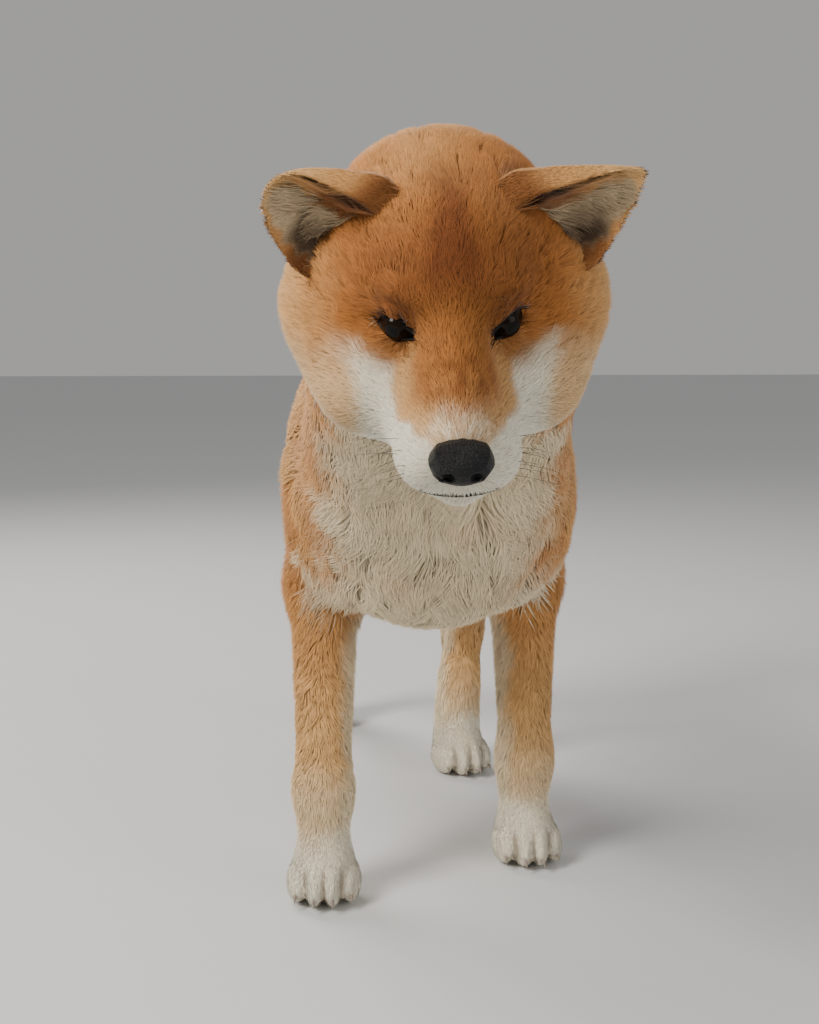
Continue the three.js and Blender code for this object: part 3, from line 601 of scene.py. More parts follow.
# %% [markdown]
# The points of the first mesh now slide along the field's slope to where it has the coat's depth
# with a minus sign, and are relaxed a little in between, less near the feet, so the toes stay. A
# shrinkwrap modifier would snap them to one surface and can't leave a depth that varies. The ears
# are thin cups and not in the field, so they keep the shape of their solids.

# %% Where the ears are, and how deep the coat is
def neighbours_mean(values, edges, count):
    total = np.zeros((count,) + values.shape[1:])
    np.add.at(total, edges[:, 0], values[edges[:, 1]])
    np.add.at(total, edges[:, 1], values[edges[:, 0]])
    degree = np.bincount(edges.ravel(), minlength=count)
    return total / np.maximum(degree, 1).reshape((-1,) + (1,) * (values.ndim - 1))


EAR_DEPTH = 1.2
EAR_SHARE = 0.3
DEPTH_ROUNDS = 12
skin_points = to_body(read(skin_mesh.vertices, "co", 3))
skin_edges = read(skin_mesh.edges, "vertices", 2, np.int32)
beyond_forms = ramp(coat_surface(skin_points), 2.0, 7.0)
in_ear = np.zeros(len(skin_points))
for side in SIDES:
    low, high = (to_body(corner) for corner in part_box(f"ear_{side}"))
    inside = ((skin_points > low - 1) & (skin_points < high + 1)).all(1)
    in_ear = np.where(inside, beyond_forms, in_ear)

skin_depth = mix(coat_depth(skin_points, group_of(skin_points)), EAR_DEPTH, in_ear)
for _ in range(DEPTH_ROUNDS):
    skin_depth = neighbours_mean(skin_depth, skin_edges, len(skin_points))
print("depth from", skin_depth.min().round(1), "to", skin_depth.max().round(1), "mm")

# %% Shaping the skin
# How much each of the five slides is relaxed afterwards.
RELAX = (0.5, 0.5, 0.5, 0.3, 0.0)
LONGEST_SLIDE = 6
FLOOR_GAP = 0.3


def place_skin(points):
    """Gives the skin's mesh its points and reads back the way each of them faces."""
    skin_mesh.vertices.foreach_set("co", to_frame(points).astype(np.float32).ravel())
    skin_mesh.update()
    return read(skin_mesh.vertex_normals, "vector", 3).astype(float)


for relax in RELAX:
    here, out = slope(coat_surface, skin_points)
    slide = np.clip(-(here + skin_depth), -LONGEST_SLIDE, LONGEST_SLIDE) * (1 - in_ear)
    skin_points = skin_points + out * slide[:, None]
    mean = neighbours_mean(skin_points, skin_edges, len(skin_points))
    relax = relax * (1 - 0.7 * ramp(-skin_points[:, 2:], -44, -30))
    skin_points = mix(skin_points, mean, relax)

skin_mesh.polygons.foreach_set("use_smooth", np.ones(len(skin_mesh.polygons), bool))
skin_normals = place_skin(skin_points)
skin_points = skin_points - skin_normals * (EAR_DEPTH * in_ear)[:, None]
skin_points[:, 2] = np.maximum(skin_points[:, 2], FLOOR_GAP)
skin_normals = place_skin(skin_points)
skin_group = group_of(skin_points)
skin = add_piece("skin", skin_mesh, stands_for=FLESH)
skin_low, skin_high = to_frame(skin_points.min(0)), to_frame(skin_points.max(0))
print("skin from", skin_low.round(4), "to", skin_high.round(4))

# %% [markdown]
# The export bakes colours into an unwrap of the skin. Seams could be drawn by hand, but fur hides
# them, so a smart projection lays out islands by itself. Each tuft later gets a small patch at the
# place where it is rooted.

# %% Unwrap
bpy.ops.object.select_all(action="DESELECT")
skin.select_set(True)
bpy.context.view_layer.objects.active = skin
skin_mesh.uv_layers.new(name="OFBake")
bpy.ops.object.mode_set(mode="EDIT")
bpy.ops.mesh.select_all(action="SELECT")
bpy.ops.uv.smart_project(angle_limit=math.radians(66), island_margin=0.002)
bpy.ops.object.mode_set(mode="OBJECT")
print("unwrapped", len(skin_mesh.loops), "corners")

# %% [markdown]
# Hair grows out of the skin at random places. To scatter roots evenly, each triangle is chosen as
# often as its area says, and the root is mixed from its three corners. Blender's own hair systems
# do this inside. The same few arrays are kept here, because each root also has to know the coat's
# depth, its part of the body, and its place in the unwrap.

# %% What a tuft needs to know about its root
skin_mesh.calc_loop_triangles()
corners = read(skin_mesh.loop_triangles, "vertices", 3, np.int32)
loops = read(skin_mesh.loop_triangles, "loops", 3, np.int32)
flat = read(skin_mesh.uv_layers["OFBake"].data, "uv", 2)
edge_a = skin_points[corners[:, 1]] - skin_points[corners[:, 0]]
edge_b = skin_points[corners[:, 2]] - skin_points[corners[:, 0]]
triangle_area = np.linalg.norm(np.cross(edge_a, edge_b), axis=1) / 2
triangle_middle = skin_points[corners].mean(1)
triangle_normal = skin_normals[corners].mean(1)
triangle_group = skin_group[corners[:, 0]]
triangle_ear = in_ear[corners].mean(1)
print("area", round(triangle_area.sum() / 100), "cm2 in", len(corners), "triangles")

# %% [markdown]
# A red shiba has cream under the body, on the chest, throat and cheeks, inside the legs and on the
# outer face of the curled tail. The rest is red, deepest on the forehead, where painted shade adds
# to it. The markings could be painted by hand. As soft masks of place and of the way the surface
# faces they need no picture, and the skin and the tufts both use them. A marking is a list of
# colours, each with its mask. Some layers are painted shade, on the forehead, round the eyes, under
# the throat, in the ears and between the toes, and some are painted light on the top of the skull.

# %% The palette, and how it is laid on
# Red, green and blue as linear light, as Blender's shaders take them.
RED = np.array((0.52, 0.195, 0.042))
# DEEP and SABLE are also laid on as painted shade in hollows and creases, and GREY as painted shade
# under the throat.
DEEP = np.array((0.2, 0.058, 0.013))
TAN = np.array((0.74, 0.44, 0.18))
CREAM = np.array((0.83, 0.68, 0.45))
GREY = np.array((0.5, 0.41, 0.29))
WHITE = np.array((0.92, 0.83, 0.66))
SABLE = np.array((0.07, 0.04, 0.025))


def waves(points, size, seed):
    """Soft random patches of about that size, from -1 to 1."""
    random = np.random.default_rng(seed)
    total = np.zeros(len(points))
    for _ in range(6):
        direction = random.normal(size=3)
        pace = 2 * math.pi / (size * 2.2) / np.linalg.norm(direction) * random.uniform(0.7, 1.5)
        direction *= pace
        total += np.sin(points @ direction + random.uniform(0, 6.3))
    return total / 3.2


def tinted(base, colour, amount):
    return base + (colour - base) * np.clip(amount, 0, 1)[:, None]


def painted(points, base, layers):
    """A base colour at each point, with layers laid over it: each is a colour and its mask."""
    colour = np.tile(base, (len(points), 1))
    for paint, mask in layers:
        colour = tinted(colour, paint, mask)
    return colour


print("half red, half cream:", painted([0], RED, [(CREAM, np.array([0.5]))]).round(2))

# %% Markings of the skull and cheeks
def mirrored(q):
    return np.stack([np.abs(q[:, 0]), q[:, 1], q[:, 2]], 1)


def wedge_middle(forward):
    """How far out the white wedge runs, from behind the eye's outer corner to the muzzle."""
    return np.interp(forward, [-14, 8, 28], [50, 39, 34])


def skull_layers(q, wave):
    """Deep red on the forehead and over the eyes, darkened by painted shade, and paler to the
    sides;
    painted light on the top of the skull behind.
    """
    side, down = np.abs(q[:, 0]), -q[:, 2]
    # line: painted shade down the middle of the forehead.
    line = np.exp(-((q[:, 0] / 9) ** 2)) * ramp(-down, -10, 15) * (1 - ramp(q[:, 1], 40, 70))
    return [
        # The coat's own deep red on the forehead and over the eyes, with painted shade laid over
        # it.
        (DEEP, 0.95 * near(q, (0, 8, 14), 34) + 0.7 * line),
        (DEEP, 0.45 * near(mirrored(q), (34, 26, 16), 26)),
        (TAN, 0.7 * ramp(side + wave, 48, 80) * ramp(60 + down, 0, 50)),
        # Painted light on the top of the skull behind, and a painted highlight on the right of the
        # crown.
        (TAN, 0.5 * ramp(q[:, 1] + wave, 84, 112) * ramp(-down, 10, 36)),
        (TAN, 0.4 * near(q, (-14, 74, 40), 26)),
    ]


def cheek_layers(q, n, wave):
    """Pale cheeks, a white wedge under the eye, and a cream throat greyed by painted shade."""
    side, forward, down = np.abs(q[:, 0]), -q[:, 1], -q[:, 2]
    pale = ramp(down + 0.35 * forward + wave, 8, 34) * (1 - ramp(q[:, 1] + wave, 34, 66))
    off = (side - wedge_middle(forward)) / mix(5.5, 9, ramp(down, 12, 34))
    wedge = np.exp(-(off**2)) * ramp(down + wave, 8, 24)
    # Painted shade: the cream of the throat is greyed where it faces down, less at the sides.
    under = ramp(-n[:, 2], 0.0, 0.6) * ramp(down, 42, 60) * (1 - 0.7 * ramp(side + wave, 52, 80))
    return [
        (mix(TAN, CREAM, 0.3), 0.85 * pale * (1 - 0.4 * ramp(side, 60, 85))),
        (mix(CREAM, WHITE, 0.6), 0.9 * wedge * (1 - ramp(q[:, 1] + wave, 8, 24))),
        (mix(CREAM, GREY, 0.4), under),
    ]


print("the wedge runs", wedge_middle(np.array([-14, 28])), "mm from the middle")

# %% Markings of the muzzle
def muzzle_layers(points, q, wave):
    """White sides and chin, a red, grizzled bridge, and painted shade under and over each eye."""
    side, forward, down = np.abs(q[:, 0]), -q[:, 1], -q[:, 2]
    snout = ramp(forward, -6, 10)
    narrow = 0.75 * (forward - 34).clip(0, 60) - 0.25 * (forward - 5).clip(0, 20)
    across = side + 0.45 * (down - 28) + narrow + wave * 0.7
    sides = ramp(across, 19, 27)
    bridge = snout * (1 - sides)
    outer = ramp(side - wedge_middle(forward), 2, 12) * (1 - ramp(forward, 14, 36))
    end = ramp(forward + 0.3 * side + wave, 46, 64)
    grizzle = ramp(waves(points, 2.0, 51), -0.4, 0.6)
    mottle = ramp(waves(points, 4.5, 52), -0.3, 0.5)
    return [
        (WHITE, snout * sides * (1 - outer)),
        (RED * 0.8, 0.9 * bridge),
        (TAN, 0.75 * bridge * ramp(across, 4, 20)),
        (mix(TAN, WHITE, 0.7), bridge * end * (0.45 + 0.5 * grizzle)),
        (DEEP, 0.7 * bridge * mottle * near(q, (3, -32, -10), 17)),
        (WHITE, ramp(forward + 0.5 * down, 84, 93) * 0.9),
        # Painted shade in the hollow under each eye and under the fold of fur over it.
        (RED * 0.6, 0.9 * near(mirrored(q), (28, -1, -16), 10)),
        (DEEP, 0.6 * near(mirrored(q), (26, 5, 4), 8)),
    ]


def head_colour(points, normals, _):
    q = into(points, HEAD)
    wave = waves(points, 12, 5) * 3
    layers = skull_layers(q, wave) + cheek_layers(q, normals @ HEAD[:3, :3], wave)
    return painted(points, RED, layers + muzzle_layers(points, q, wave))


AHEAD = np.array([(0.0, -1.0, 0.0)])
print("the brow is", head_colour(carry([(0, 8, 14)], HEAD), AHEAD, "head").round(2))

# %% Markings of the trunk
def trunk_colour(points, normals, _):
    """Red, deep along the back and sable on the nape, with a cream chest, belly and rump."""
    x, height = points[:, 0], points[:, 2]
    wave = waves(points, 30, 9) * 0.14
    across = np.abs(x + 12 * ramp(height, 220, 280))
    middle = 1 - ramp(across + 60 * wave + 0.14 * (height - 220), 36, 66)
    front = middle * ramp(-normals[:, 1] + wave, 0.1, 0.5) * ramp(-points[:, 1], 110, 150)
    patchy = ramp(waves(points, 12, 23), -0.3, 0.7)
    behind = ramp(normals[:, 1], 0.55, 0.85) * ramp(points[:, 1], 150, 190)
    nape = near(points, (10, -250, 440), 60)
    return painted(points, RED * 1.06, [
        (DEEP, 0.45 * ramp(height, 330, 372) * ramp(points[:, 1], -120, 0)),
        (TAN, 0.7 * ramp(np.abs(x) + 40 * wave, 50, 84)),
        (mix(CREAM, TAN, 0.12), front),
        (GREY, front * 0.5 * patchy * ramp(-height, -330, -260)),
        (RED * 1.3, 0.22 * front * ramp(waves(points, 16, 24), 0, 0.8)),
        (CREAM, ramp(-normals[:, 2] + wave, 0.25, 0.7)),
        (CREAM, behind * ramp(-height, -330, -290)),
        (SABLE * 2.5, 0.4 * nape * ramp(waves(points, 7, 3), -0.1, 0.7)),
    ])


print("the chest is", trunk_colour(np.array([(-12.0, -190, 230)]), AHEAD, "torso").round(2))

# %% Markings of the legs and tail
def leg_colour(points, normals, name):
    """Red outside, cream inside and behind, a white foot, and painted shade between the toes."""
    height = points[:, 2]
    wave = waves(points, 22, 12) * 0.12
    inner = ramp(-normals[:, 0] * LEGS[name]["side"] + wave, 0.35, 0.85)
    behind = ramp(normals[:, 1] + wave, 0.45, 0.8) * ramp(points[:, 1], 60, 110)
    q = into(points, paw_space(LEGS[name]))
    # Painted shade in the gaps between the toes, low on the foot.
    gap = np.abs((q[:, 0] / (PAW_WIDTH * TOE_SHARE) + 0.5) % 1 - 0.5) * PAW_WIDTH * TOE_SHARE
    cleft_shade = (1 - ramp(gap, 0.6, 2.0)) * ramp(-q[:, 1], 12, 24)
    cleft_shade = cleft_shade * (np.abs(q[:, 0]) < PAW_WIDTH * 0.4)
    return painted(points, RED * 1.1, [
        (TAN, 0.2 + 0.7 * ramp(-height, -210, -70)),
        (CREAM, inner * 0.8),
        (CREAM, behind * ramp(height, 90, 150)),
        (CREAM, 0.6 * ramp(-height + 50 * wave, -90, -50)),
        (WHITE, ramp(-height + 50 * wave, -50, -26)),
        (SABLE * 2, 0.6 * cleft_shade * ramp(-height, -28, -20)),
    ])


def tail_colour(points, normals, _):
    """Red inside the curl, cream on its outer face and at the tip."""
    out = unit(points - np.array((14, 140, 372)))
    way, _ = along_tail(points)
    outer = ramp((normals * out).sum(1) + waves(points, 16, 8) * 0.2, 0.15, 0.6)
    return painted(points, RED, [(CREAM, outer), (CREAM, ramp(way, 0.86, 1.0) * 0.8)])


print("a shin is", leg_colour(np.array([(66.0, -120, 120)]), AHEAD, "foreleg_left").round(2))

# %% [markdown]
# The ears' backs and rims are red, paler at the tip. Inside the cup the hair is pale, with a dark
# shadow where the cup goes down into the head. An ear leans and turns, so x, y and z are no help
# there. A place on it is told by how far it is up to the tip and how far across, from -1 at the
# inner edge to 1 at the outer edge.

# %% The ears' own measure
EAR_ROOTS = {"inner": np.array((42, 70, 41)), "outer": np.array((82, 55, 8))}
EARS = {
    "ear_left": {"side": 1, "tip": np.array((99, 60, 48)), "taper": 0.66},
    "ear_right": {"side": -1, "tip": np.array((87, 63, 45)), "taper": 0.34},
}
NARROWEST = 0.015


def ear_measure(points, name):
    """How far up, how far across, and the ear's rise, spread and opening in body space."""
    ear = EARS[name]
    flip = np.array((ear["side"], 1, 1))
    q = into(points, HEAD) * flip
    root = (EAR_ROOTS["inner"] + EAR_ROOTS["outer"]) / 2
    rise = ear["tip"] - root
    spread = EAR_ROOTS["outer"] - EAR_ROOTS["inner"]
    half = np.linalg.norm(spread) / 2
    spread = spread / (2 * half)
    level = rise - (rise @ spread) * spread
    up = (q - root) @ level / (level @ level)
    width = half * np.maximum(1 - up.clip(0, 1), NARROWEST) ** ear["taper"]
    across = ((q - root - up[:, None] * rise) @ spread) / width
    opening = np.cross(spread, rise)
    ways = [(v / np.linalg.norm(v) * flip) @ HEAD[:3, :3].T for v in (rise, spread, opening)]
    return up, across, ways


def ear_colour(points, normals, name):
    up, across, (_, _, opening) = ear_measure(points, name)
    wave = waves(points, 5, 61) * 0.06
    cup = ramp(normals @ opening, -0.05, 0.35)
    cup *= ramp(across + wave, -0.5, -0.3) * ramp(-across + wave, -0.86, -0.66)
    cup *= ramp(-up + wave, -0.86, -0.68)
    # Painted shadow deep in the cup, where it goes down into the head.
    pit_shadow = cup * ramp(-up, -0.34, -0.08) * ramp(across, -0.4, 0.3)
    return painted(points, RED, [
        (TAN, 0.45 + 0.5 * ramp(up, 0.3, 1.0)),
        # Painted shade at the ear's root, on the side that the cup opens to.
        (DEEP, 0.8 * ramp(-up, -0.3, 0.05) * ramp(normals @ opening, -0.2, 0.3)),
        (mix(CREAM, TAN, 0.3) * 0.72, cup),
        (SABLE, 0.9 * pit_shadow),
    ])


for name in EARS:
    print(name, "opens towards", ear_measure(np.zeros((1, 3)), name)[2][2].round(2))

# %% Colours of the skin
COLOURS = {"head": head_colour, "torso": trunk_colour, "neck": trunk_colour, "tail": tail_colour,
           "foreleg": leg_colour, "hindleg": leg_colour, "ear": ear_colour}


def by_part(rules, points, normals, group, ear):
    """Three values for each point, by the rule for its part of the body or for its ear."""
    head_x = into(points, HEAD)[:, 0]
    places = {name: group == i for i, name in enumerate(GROUP_NAMES)}
    for name in EARS:
        places[name] = (ear > EAR_SHARE) & (head_x * EARS[name]["side"] > 0)
    values = np.empty((len(points), 3))
    for name, here in places.items():
        values[here] = rules[name.split("_")[0]](points[here], normals[here], name)
    return values


def set_colours(mesh, colours):
    layer = mesh.color_attributes.new("Tint", "FLOAT_COLOR", "POINT")
    rgba = np.ones((len(colours), 4), np.float32)
    rgba[:, :3] = np.clip(colours, 0, 1)
    layer.data.foreach_set("color", rgba.ravel())


SOFTENING_ROUNDS = 3
# The skin is painted a shade darker than the tufts over it, as painted shade under the coat.
UNDER_FUR_SHADE = 0.8
skin_colour = by_part(COLOURS, skin_points, skin_normals, skin_group, in_ear)
for _ in range(SOFTENING_ROUNDS):
    skin_colour = neighbours_mean(skin_colour, skin_edges, len(skin_points))
set_colours(skin_mesh, skin_colour * UNDER_FUR_SHADE)
print("the skin's mean colour", (skin_colour * UNDER_FUR_SHADE).mean(0).round(2))

# %% [markdown]
# Fur scatters light in every direction, so its finish is rough with a little sheen. Hair has a
# shader of its own in Blender, but it needs strands, and the export keeps only this plainer one.
# The skin has the same colours as the tufts above it, a shade darker as painted shade under
# the coat, with a fine bump for the underfur.

# %% Finishes of skin and coat
def tinted_material(name, values):
    """A new material whose colour is the piece's own tint."""
    material = new_material(name, values)
    tree = material.node_tree
    tint = tree.nodes.new("ShaderNodeVertexColor")
    tint.layer_name = "Tint"
    tree.links.new(tint.outputs["Color"], tree.nodes["Principled BSDF"].inputs["Base Color"])
    return material


def add_bump(material, scale, strength, distance):
    """Fine relief from noise in the object's own space."""
    tree = material.node_tree
    place = tree.nodes.new("ShaderNodeTexCoord")
    noise = tree.nodes.new("ShaderNodeTexNoise")
    set_inputs(noise, {"Scale": scale, "Detail": 4})
    bump = tree.nodes.new("ShaderNodeBump")
    set_inputs(bump, {"Strength": strength, "Distance": distance})
    tree.links.new(place.outputs["Object"], noise.inputs["Vector"])
    tree.links.new(noise.outputs["Fac"], bump.inputs["Height"])
    tree.links.new(bump.outputs["Normal"], tree.nodes["Principled BSDF"].inputs["Normal"])


underfur = tinted_material("underfur", {"Roughness": 0.9, "Specular IOR Level": 0.2})
add_bump(underfur, 900, 0.7, 0.0006)
skin_mesh.materials.clear()
skin_mesh.materials.append(underfur)
coat_finish = tinted_material("coat", {
    "Roughness": 0.75, "Specular IOR Level": 0.2, "Sheen Weight": 0.15, "Sheen Roughness": 0.5})
print("finishes", underfur.name, "and", coat_finish.name)

# %% [markdown]
# Fur has a lie: it runs back from the nose over the skull, down the neck and the legs, back along
# the body and out to the tip of the tail. Round the eyes it parts. It could be combed by hand, but
# a rule for each part of the body gives every root its direction and can be corrected in one place.

# %% The lie on head, ears and tail
NOSE_AT = np.array((0, -84, -28))


def head_lie(points, *_):
    q = into(points, HEAD)
    lie = unit(q - NOSE_AT)
    cheek = ramp(q[:, 1], 20, 80) * ramp(-q[:, 2], -30, 20)
    lie += cheek[:, None] * np.array((0, 0.4, -0.6))
    for at in EYE_AT.values():
        away = q - np.array(at)
        weight = 2.2 * np.exp(-(away**2).sum(1) / 17**2)
        lie += weight[:, None] * unit(away)
    return lie @ HEAD[:3, :3].T


def ear_lie(points, normals, name):
    """Up to the tip on the back, and across to the outer edge inside the cup."""
    _, across, (rise, spread, opening) = ear_measure(points, name)
    cup = (ramp(normals @ opening, 0.0, 0.4) * ramp(across, -0.6, -0.4))[:, None]
    return mix(rise + 0.25 * spread, 0.5 * rise + spread, cup)


def tail_lie(points, *_):
    way, _ = along_tail(points)
    step = len(TAIL_LINE) - 1
    runs = unit(np.diff(TAIL_LINE, axis=0))
    return runs[np.clip((way * step).astype(int), 0, step - 1)]


print("at the tail's root the fur runs", tail_lie(TAIL_LINE[:1]).round(2))

# %% The lie on trunk and legs
def trunk_lie(points, normals, _):
    """Back along the body, down on the flanks, and fanned out on the chest."""
    front = ramp(-normals[:, 1], 0.15, 0.75) * ramp(-points[:, 1], 100, 170)
    flank = ramp(np.abs(normals[:, 0]), 0.3, 0.9)
    on_neck = ramp(-points[:, 1], 120, 230)
    lie = np.tile(np.array((0.0, 1.0, -0.12)), (len(points), 1))
    lie += flank[:, None] * np.array((0, -0.1, -0.5))
    lie = mix(lie, np.array((0.03, 0.85, -0.53)), on_neck[:, None] * 0.9)
    spread = points[:, 0] / 90
    fan = np.stack([spread * 0.7, np.full(len(points), 0.1), np.full(len(points), -1.0)], 1)
    return mix(lie, fan, front[:, None])


def leg_lie(points, *_):
    toes = ramp(-points[:, 2], -44, -22)[:, None]
    return mix(np.array((0, 0.14, -1.0)), np.array((0, -0.9, -0.45)), toes)


LIES = {"head": head_lie, "torso": trunk_lie, "neck": trunk_lie, "tail": tail_lie,
        "foreleg": leg_lie, "hindleg": leg_lie, "ear": ear_lie}
print("on a shin the fur runs", leg_lie(np.array([(66.0, -120, 120)])).round(2))

# %% [markdown]
# The lips part the fur of the muzzle, so the line where they meet has to be known before the coat.
# It could be drawn point by point. Walking out of the muzzle's middle, at the mouth's height,
# until the coat ends finds it by itself, wherever the muzzle's forms are moved.

# %% Where the lips meet
# The height of the lips in front, how far round they run in degrees, the middle that is walked
# from, and how much their corners fall.
MOUTH = {"height": -49.5, "corner": 100, "middle": -34, "fall": 8}
MOUTH_STEPS = 61


def mouth_path():
    angles = np.radians(np.linspace(-MOUTH["corner"], MOUTH["corner"], MOUTH_STEPS))
    level = np.zeros(MOUTH_STEPS)
    heights = MOUTH["height"] - MOUTH["fall"] * (1 - np.cos(angles))
    out = np.stack([np.sin(angles), -np.cos(angles), level], 1)
    start = np.stack([level, level + MOUTH["middle"], heights], 1)
    walk = start[:, None] + out[:, None] * np.arange(2, 60, 0.25)[None, :, None]
    outside = coat_surface(carry(walk.reshape(-1, 3), HEAD)).reshape(MOUTH_STEPS, -1) > -1.3
    at = walk[np.arange(MOUTH_STEPS), outside.argmax(1)]
    for _ in range(2):
        at[1:-1] = (at[:-2] + at[1:-1] + at[2:]) / 3
    return at, out


mouth_at, mouth_out = mouth_path()
print("the mouth is", (mouth_at[:, 0].max() - mouth_at[:, 0].min()).round(1), "mm wide")

# %% [markdown]
# A tuft is a thin tapering blade with three sides. Its root is sunk in the skin, it rises through
# the depth of the coat and lies back along the body. Longer fur gathers in locks: each tuft leans
# its tip towards that of the lock it stands in. Blender's hair curves would be quicker to make,
# but the exported model keeps only meshes. All tufts of a piece are made at once as arrays,
# because a loop over more than 300,000 of them would be slow. They are shaded by a mix of their
# own roundness and the way the skin faces, which gives a soft coat.

# %% Where fur may grow
NOSE_EGG = {"at": np.array((0, -72, -26)), "radii": np.array((15, 13, 12))}
LIP_GAP = 2.2
LOWEST_ROOT = 1.5


def outside_openings(points):
    """Where fur may grow: not between the lids, on the nose, along the lips or under the feet."""
    allowed = points[:, 2] > LOWEST_ROOT
    for side in EYES:
        q = into(points, EYES[side])
        allowed &= ~((almond(q[:, 0], q[:, 1]) < 1.0) & (q[:, 2] > -6) & (np.abs(q[:, 0]) < 18))
    q = into(points, HEAD)
    allowed &= (((q - NOSE_EGG["at"]) / NOSE_EGG["radii"]) ** 2).sum(1) > 1
    close = np.flatnonzero(allowed & (q[:, 1] < 0) & (q[:, 2] < -40))
    gaps = np.linalg.norm(q[close, None] - mouth_at[None], axis=2).min(1)
    allowed[close[gaps < LIP_GAP]] = False
    return allowed


print("of all corners of the skin,", outside_openings(skin_points).sum(), "may carry fur")

# %% Roots
COUNT_SCALE = 1.0


def pick_roots(random, weight, count):
    """Random places on the skin, and what a tuft needs to know at each of them."""
    chance = np.cumsum(weight * triangle_area)
    chosen = np.searchsorted(chance, random.random(count) * chance[-1])
    a, b = random.random(count), random.random(count)
    a, b = np.where(a + b > 1, 1 - a, a), np.where(a + b > 1, 1 - b, b)
    share = np.stack([1 - a - b, a, b], 1)[:, :, None]
    at = (skin_points[corners[chosen]] * share).sum(1)
    keep = outside_openings(at)
    chosen, share, at = chosen[keep], share[keep], at[keep]
    normal = unit((skin_normals[corners[chosen]] * share).sum(1))
    ear = (in_ear[corners[chosen]] * share[:, :, 0]).sum(1)
    about = (at, normal, triangle_group[chosen], ear)
    lie = by_part(LIES, *about)
    lie -= (lie * normal).sum(1, keepdims=True) * normal
    return {
        "at": at,
        "normal": normal,
        "on_ear": ear > EAR_SHARE,
        "depth": (skin_depth[corners[chosen]] * share[:, :, 0]).sum(1),
        "patch": (flat[loops[chosen]] * share).sum(1),
        "colour": by_part(COLOURS, *about),
        "lie": unit(lie),
    }


print("roots are picked at", COUNT_SCALE, "of their full number")

# %% Locks, and the height over the skin
LOWEST_FUR = 0.6
STRAY = 4


def in_locks(random, at, locks, gather, turn, shade):
    """Tufts of one lock turn and are shaded alike, and their tips are pulled together."""
    heads = random.choice(len(at), locks, False)
    tree = KDTree(len(heads))
    for i, head in enumerate(heads):
        tree.insert(at[head], i)
    tree.balance()
    mine = heads[[tree.find(p)[1] for p in at]]
    turn = turn * 0.4 + turn[mine] * 1.4
    shade = shade * (0.9 + 0.18 * random.random(len(at))[mine])
    return turn, shade, (at[mine] - at) * gather


def settled(middle, roots, rise, reach):
    """Points moved to their height over the skin, and whether each of them got there."""
    normal, depth, on_ear = roots["normal"], roots["depth"], roots["on_ear"]
    for _ in range(2):
        over = coat_surface(middle) + depth - rise
        over = np.where(on_ear, 0, np.clip(over, -reach, reach))
        middle = middle - normal * over[:, None]
    middle = middle + normal * np.where(on_ear, rise, 0)[:, None]
    there = on_ear | (np.abs(coat_surface(middle) + depth - rise) < STRAY)
    middle[:, 2] = np.maximum(middle[:, 2], LOWEST_FUR)
    return middle, there


print("a tuft may stray", STRAY, "mm from its height before it is left out")

# %% The mesh of a tuft
# Where a ring's corners lie, aside and up from the tuft's middle line: two edges and a ridge.
BLADE = ((-1, 0.0), (1, 0.0), (0, 0.8))
PATCH = 0.003
SOFTNESS = 0.62


def tuft_faces(rings):
    faces = []
    for k in range(rings - 1):
        for i, j in ((2, 0), (1, 2), (0, 1)):
            lower_i, lower_j, upper_i, upper_j = 3 * k + i, 3 * k + j, 3 * k + 3 + i, 3 * k + 3 + j
            faces += [(lower_i, lower_j, upper_j), (lower_i, upper_j, upper_i)]
    last = 3 * (rings - 1)
    faces += [(last + i, last + j, 3 * rings) for i, j in ((2, 0), (1, 2), (0, 1))]
    return np.array(faces)


def tuft_mesh(name, roots, points, tints, faced, steps):
    """One mesh of all tufts, with its tints, its patches in the unwrap and its soft shading."""
    count, size = points.shape[:2]
    faces = tuft_faces(len(steps) - 1)[None] + (np.arange(count) * size)[:, None, None]
    faces = faces.reshape(-1, 3)
    mesh = new_mesh(name, to_frame(points.reshape(-1, 3)), faces)
    corner = np.zeros((size, 2))
    corner[:, 0] = np.tile((-0.5, 0.5, 0.0), len(steps))[:size] * PATCH
    corner[:, 1] = np.repeat(steps, 3)[:size] * PATCH - PATCH / 2
    places = np.clip(roots["patch"][:, None] + corner[None], 0, 1).reshape(-1, 2)
    layer = mesh.uv_layers.new(name="OFBake")
    layer.data.foreach_set("uv", places[faces.ravel()].astype(np.float32).ravel())
    set_colours(mesh, tints.reshape(-1, 3))
    soft = unit(mix(faced, roots["normal"][:, None], SOFTNESS)).reshape(-1, 3)
    mesh.normals_split_custom_set_from_vertices(soft.astype(np.float32))
    return mesh


print("a tuft of two rings has", len(tuft_faces(2)), "triangles")

# %% Growing tufts
# Each tuft is painted darker towards its root and a little lighter at its tip: painted shade deep
# in the coat.
TIP_TONE = 1.12
ROOT_SUNK = 0.8
TIPPED_SHARE, TIP_AMOUNT = 0.3, 0.6


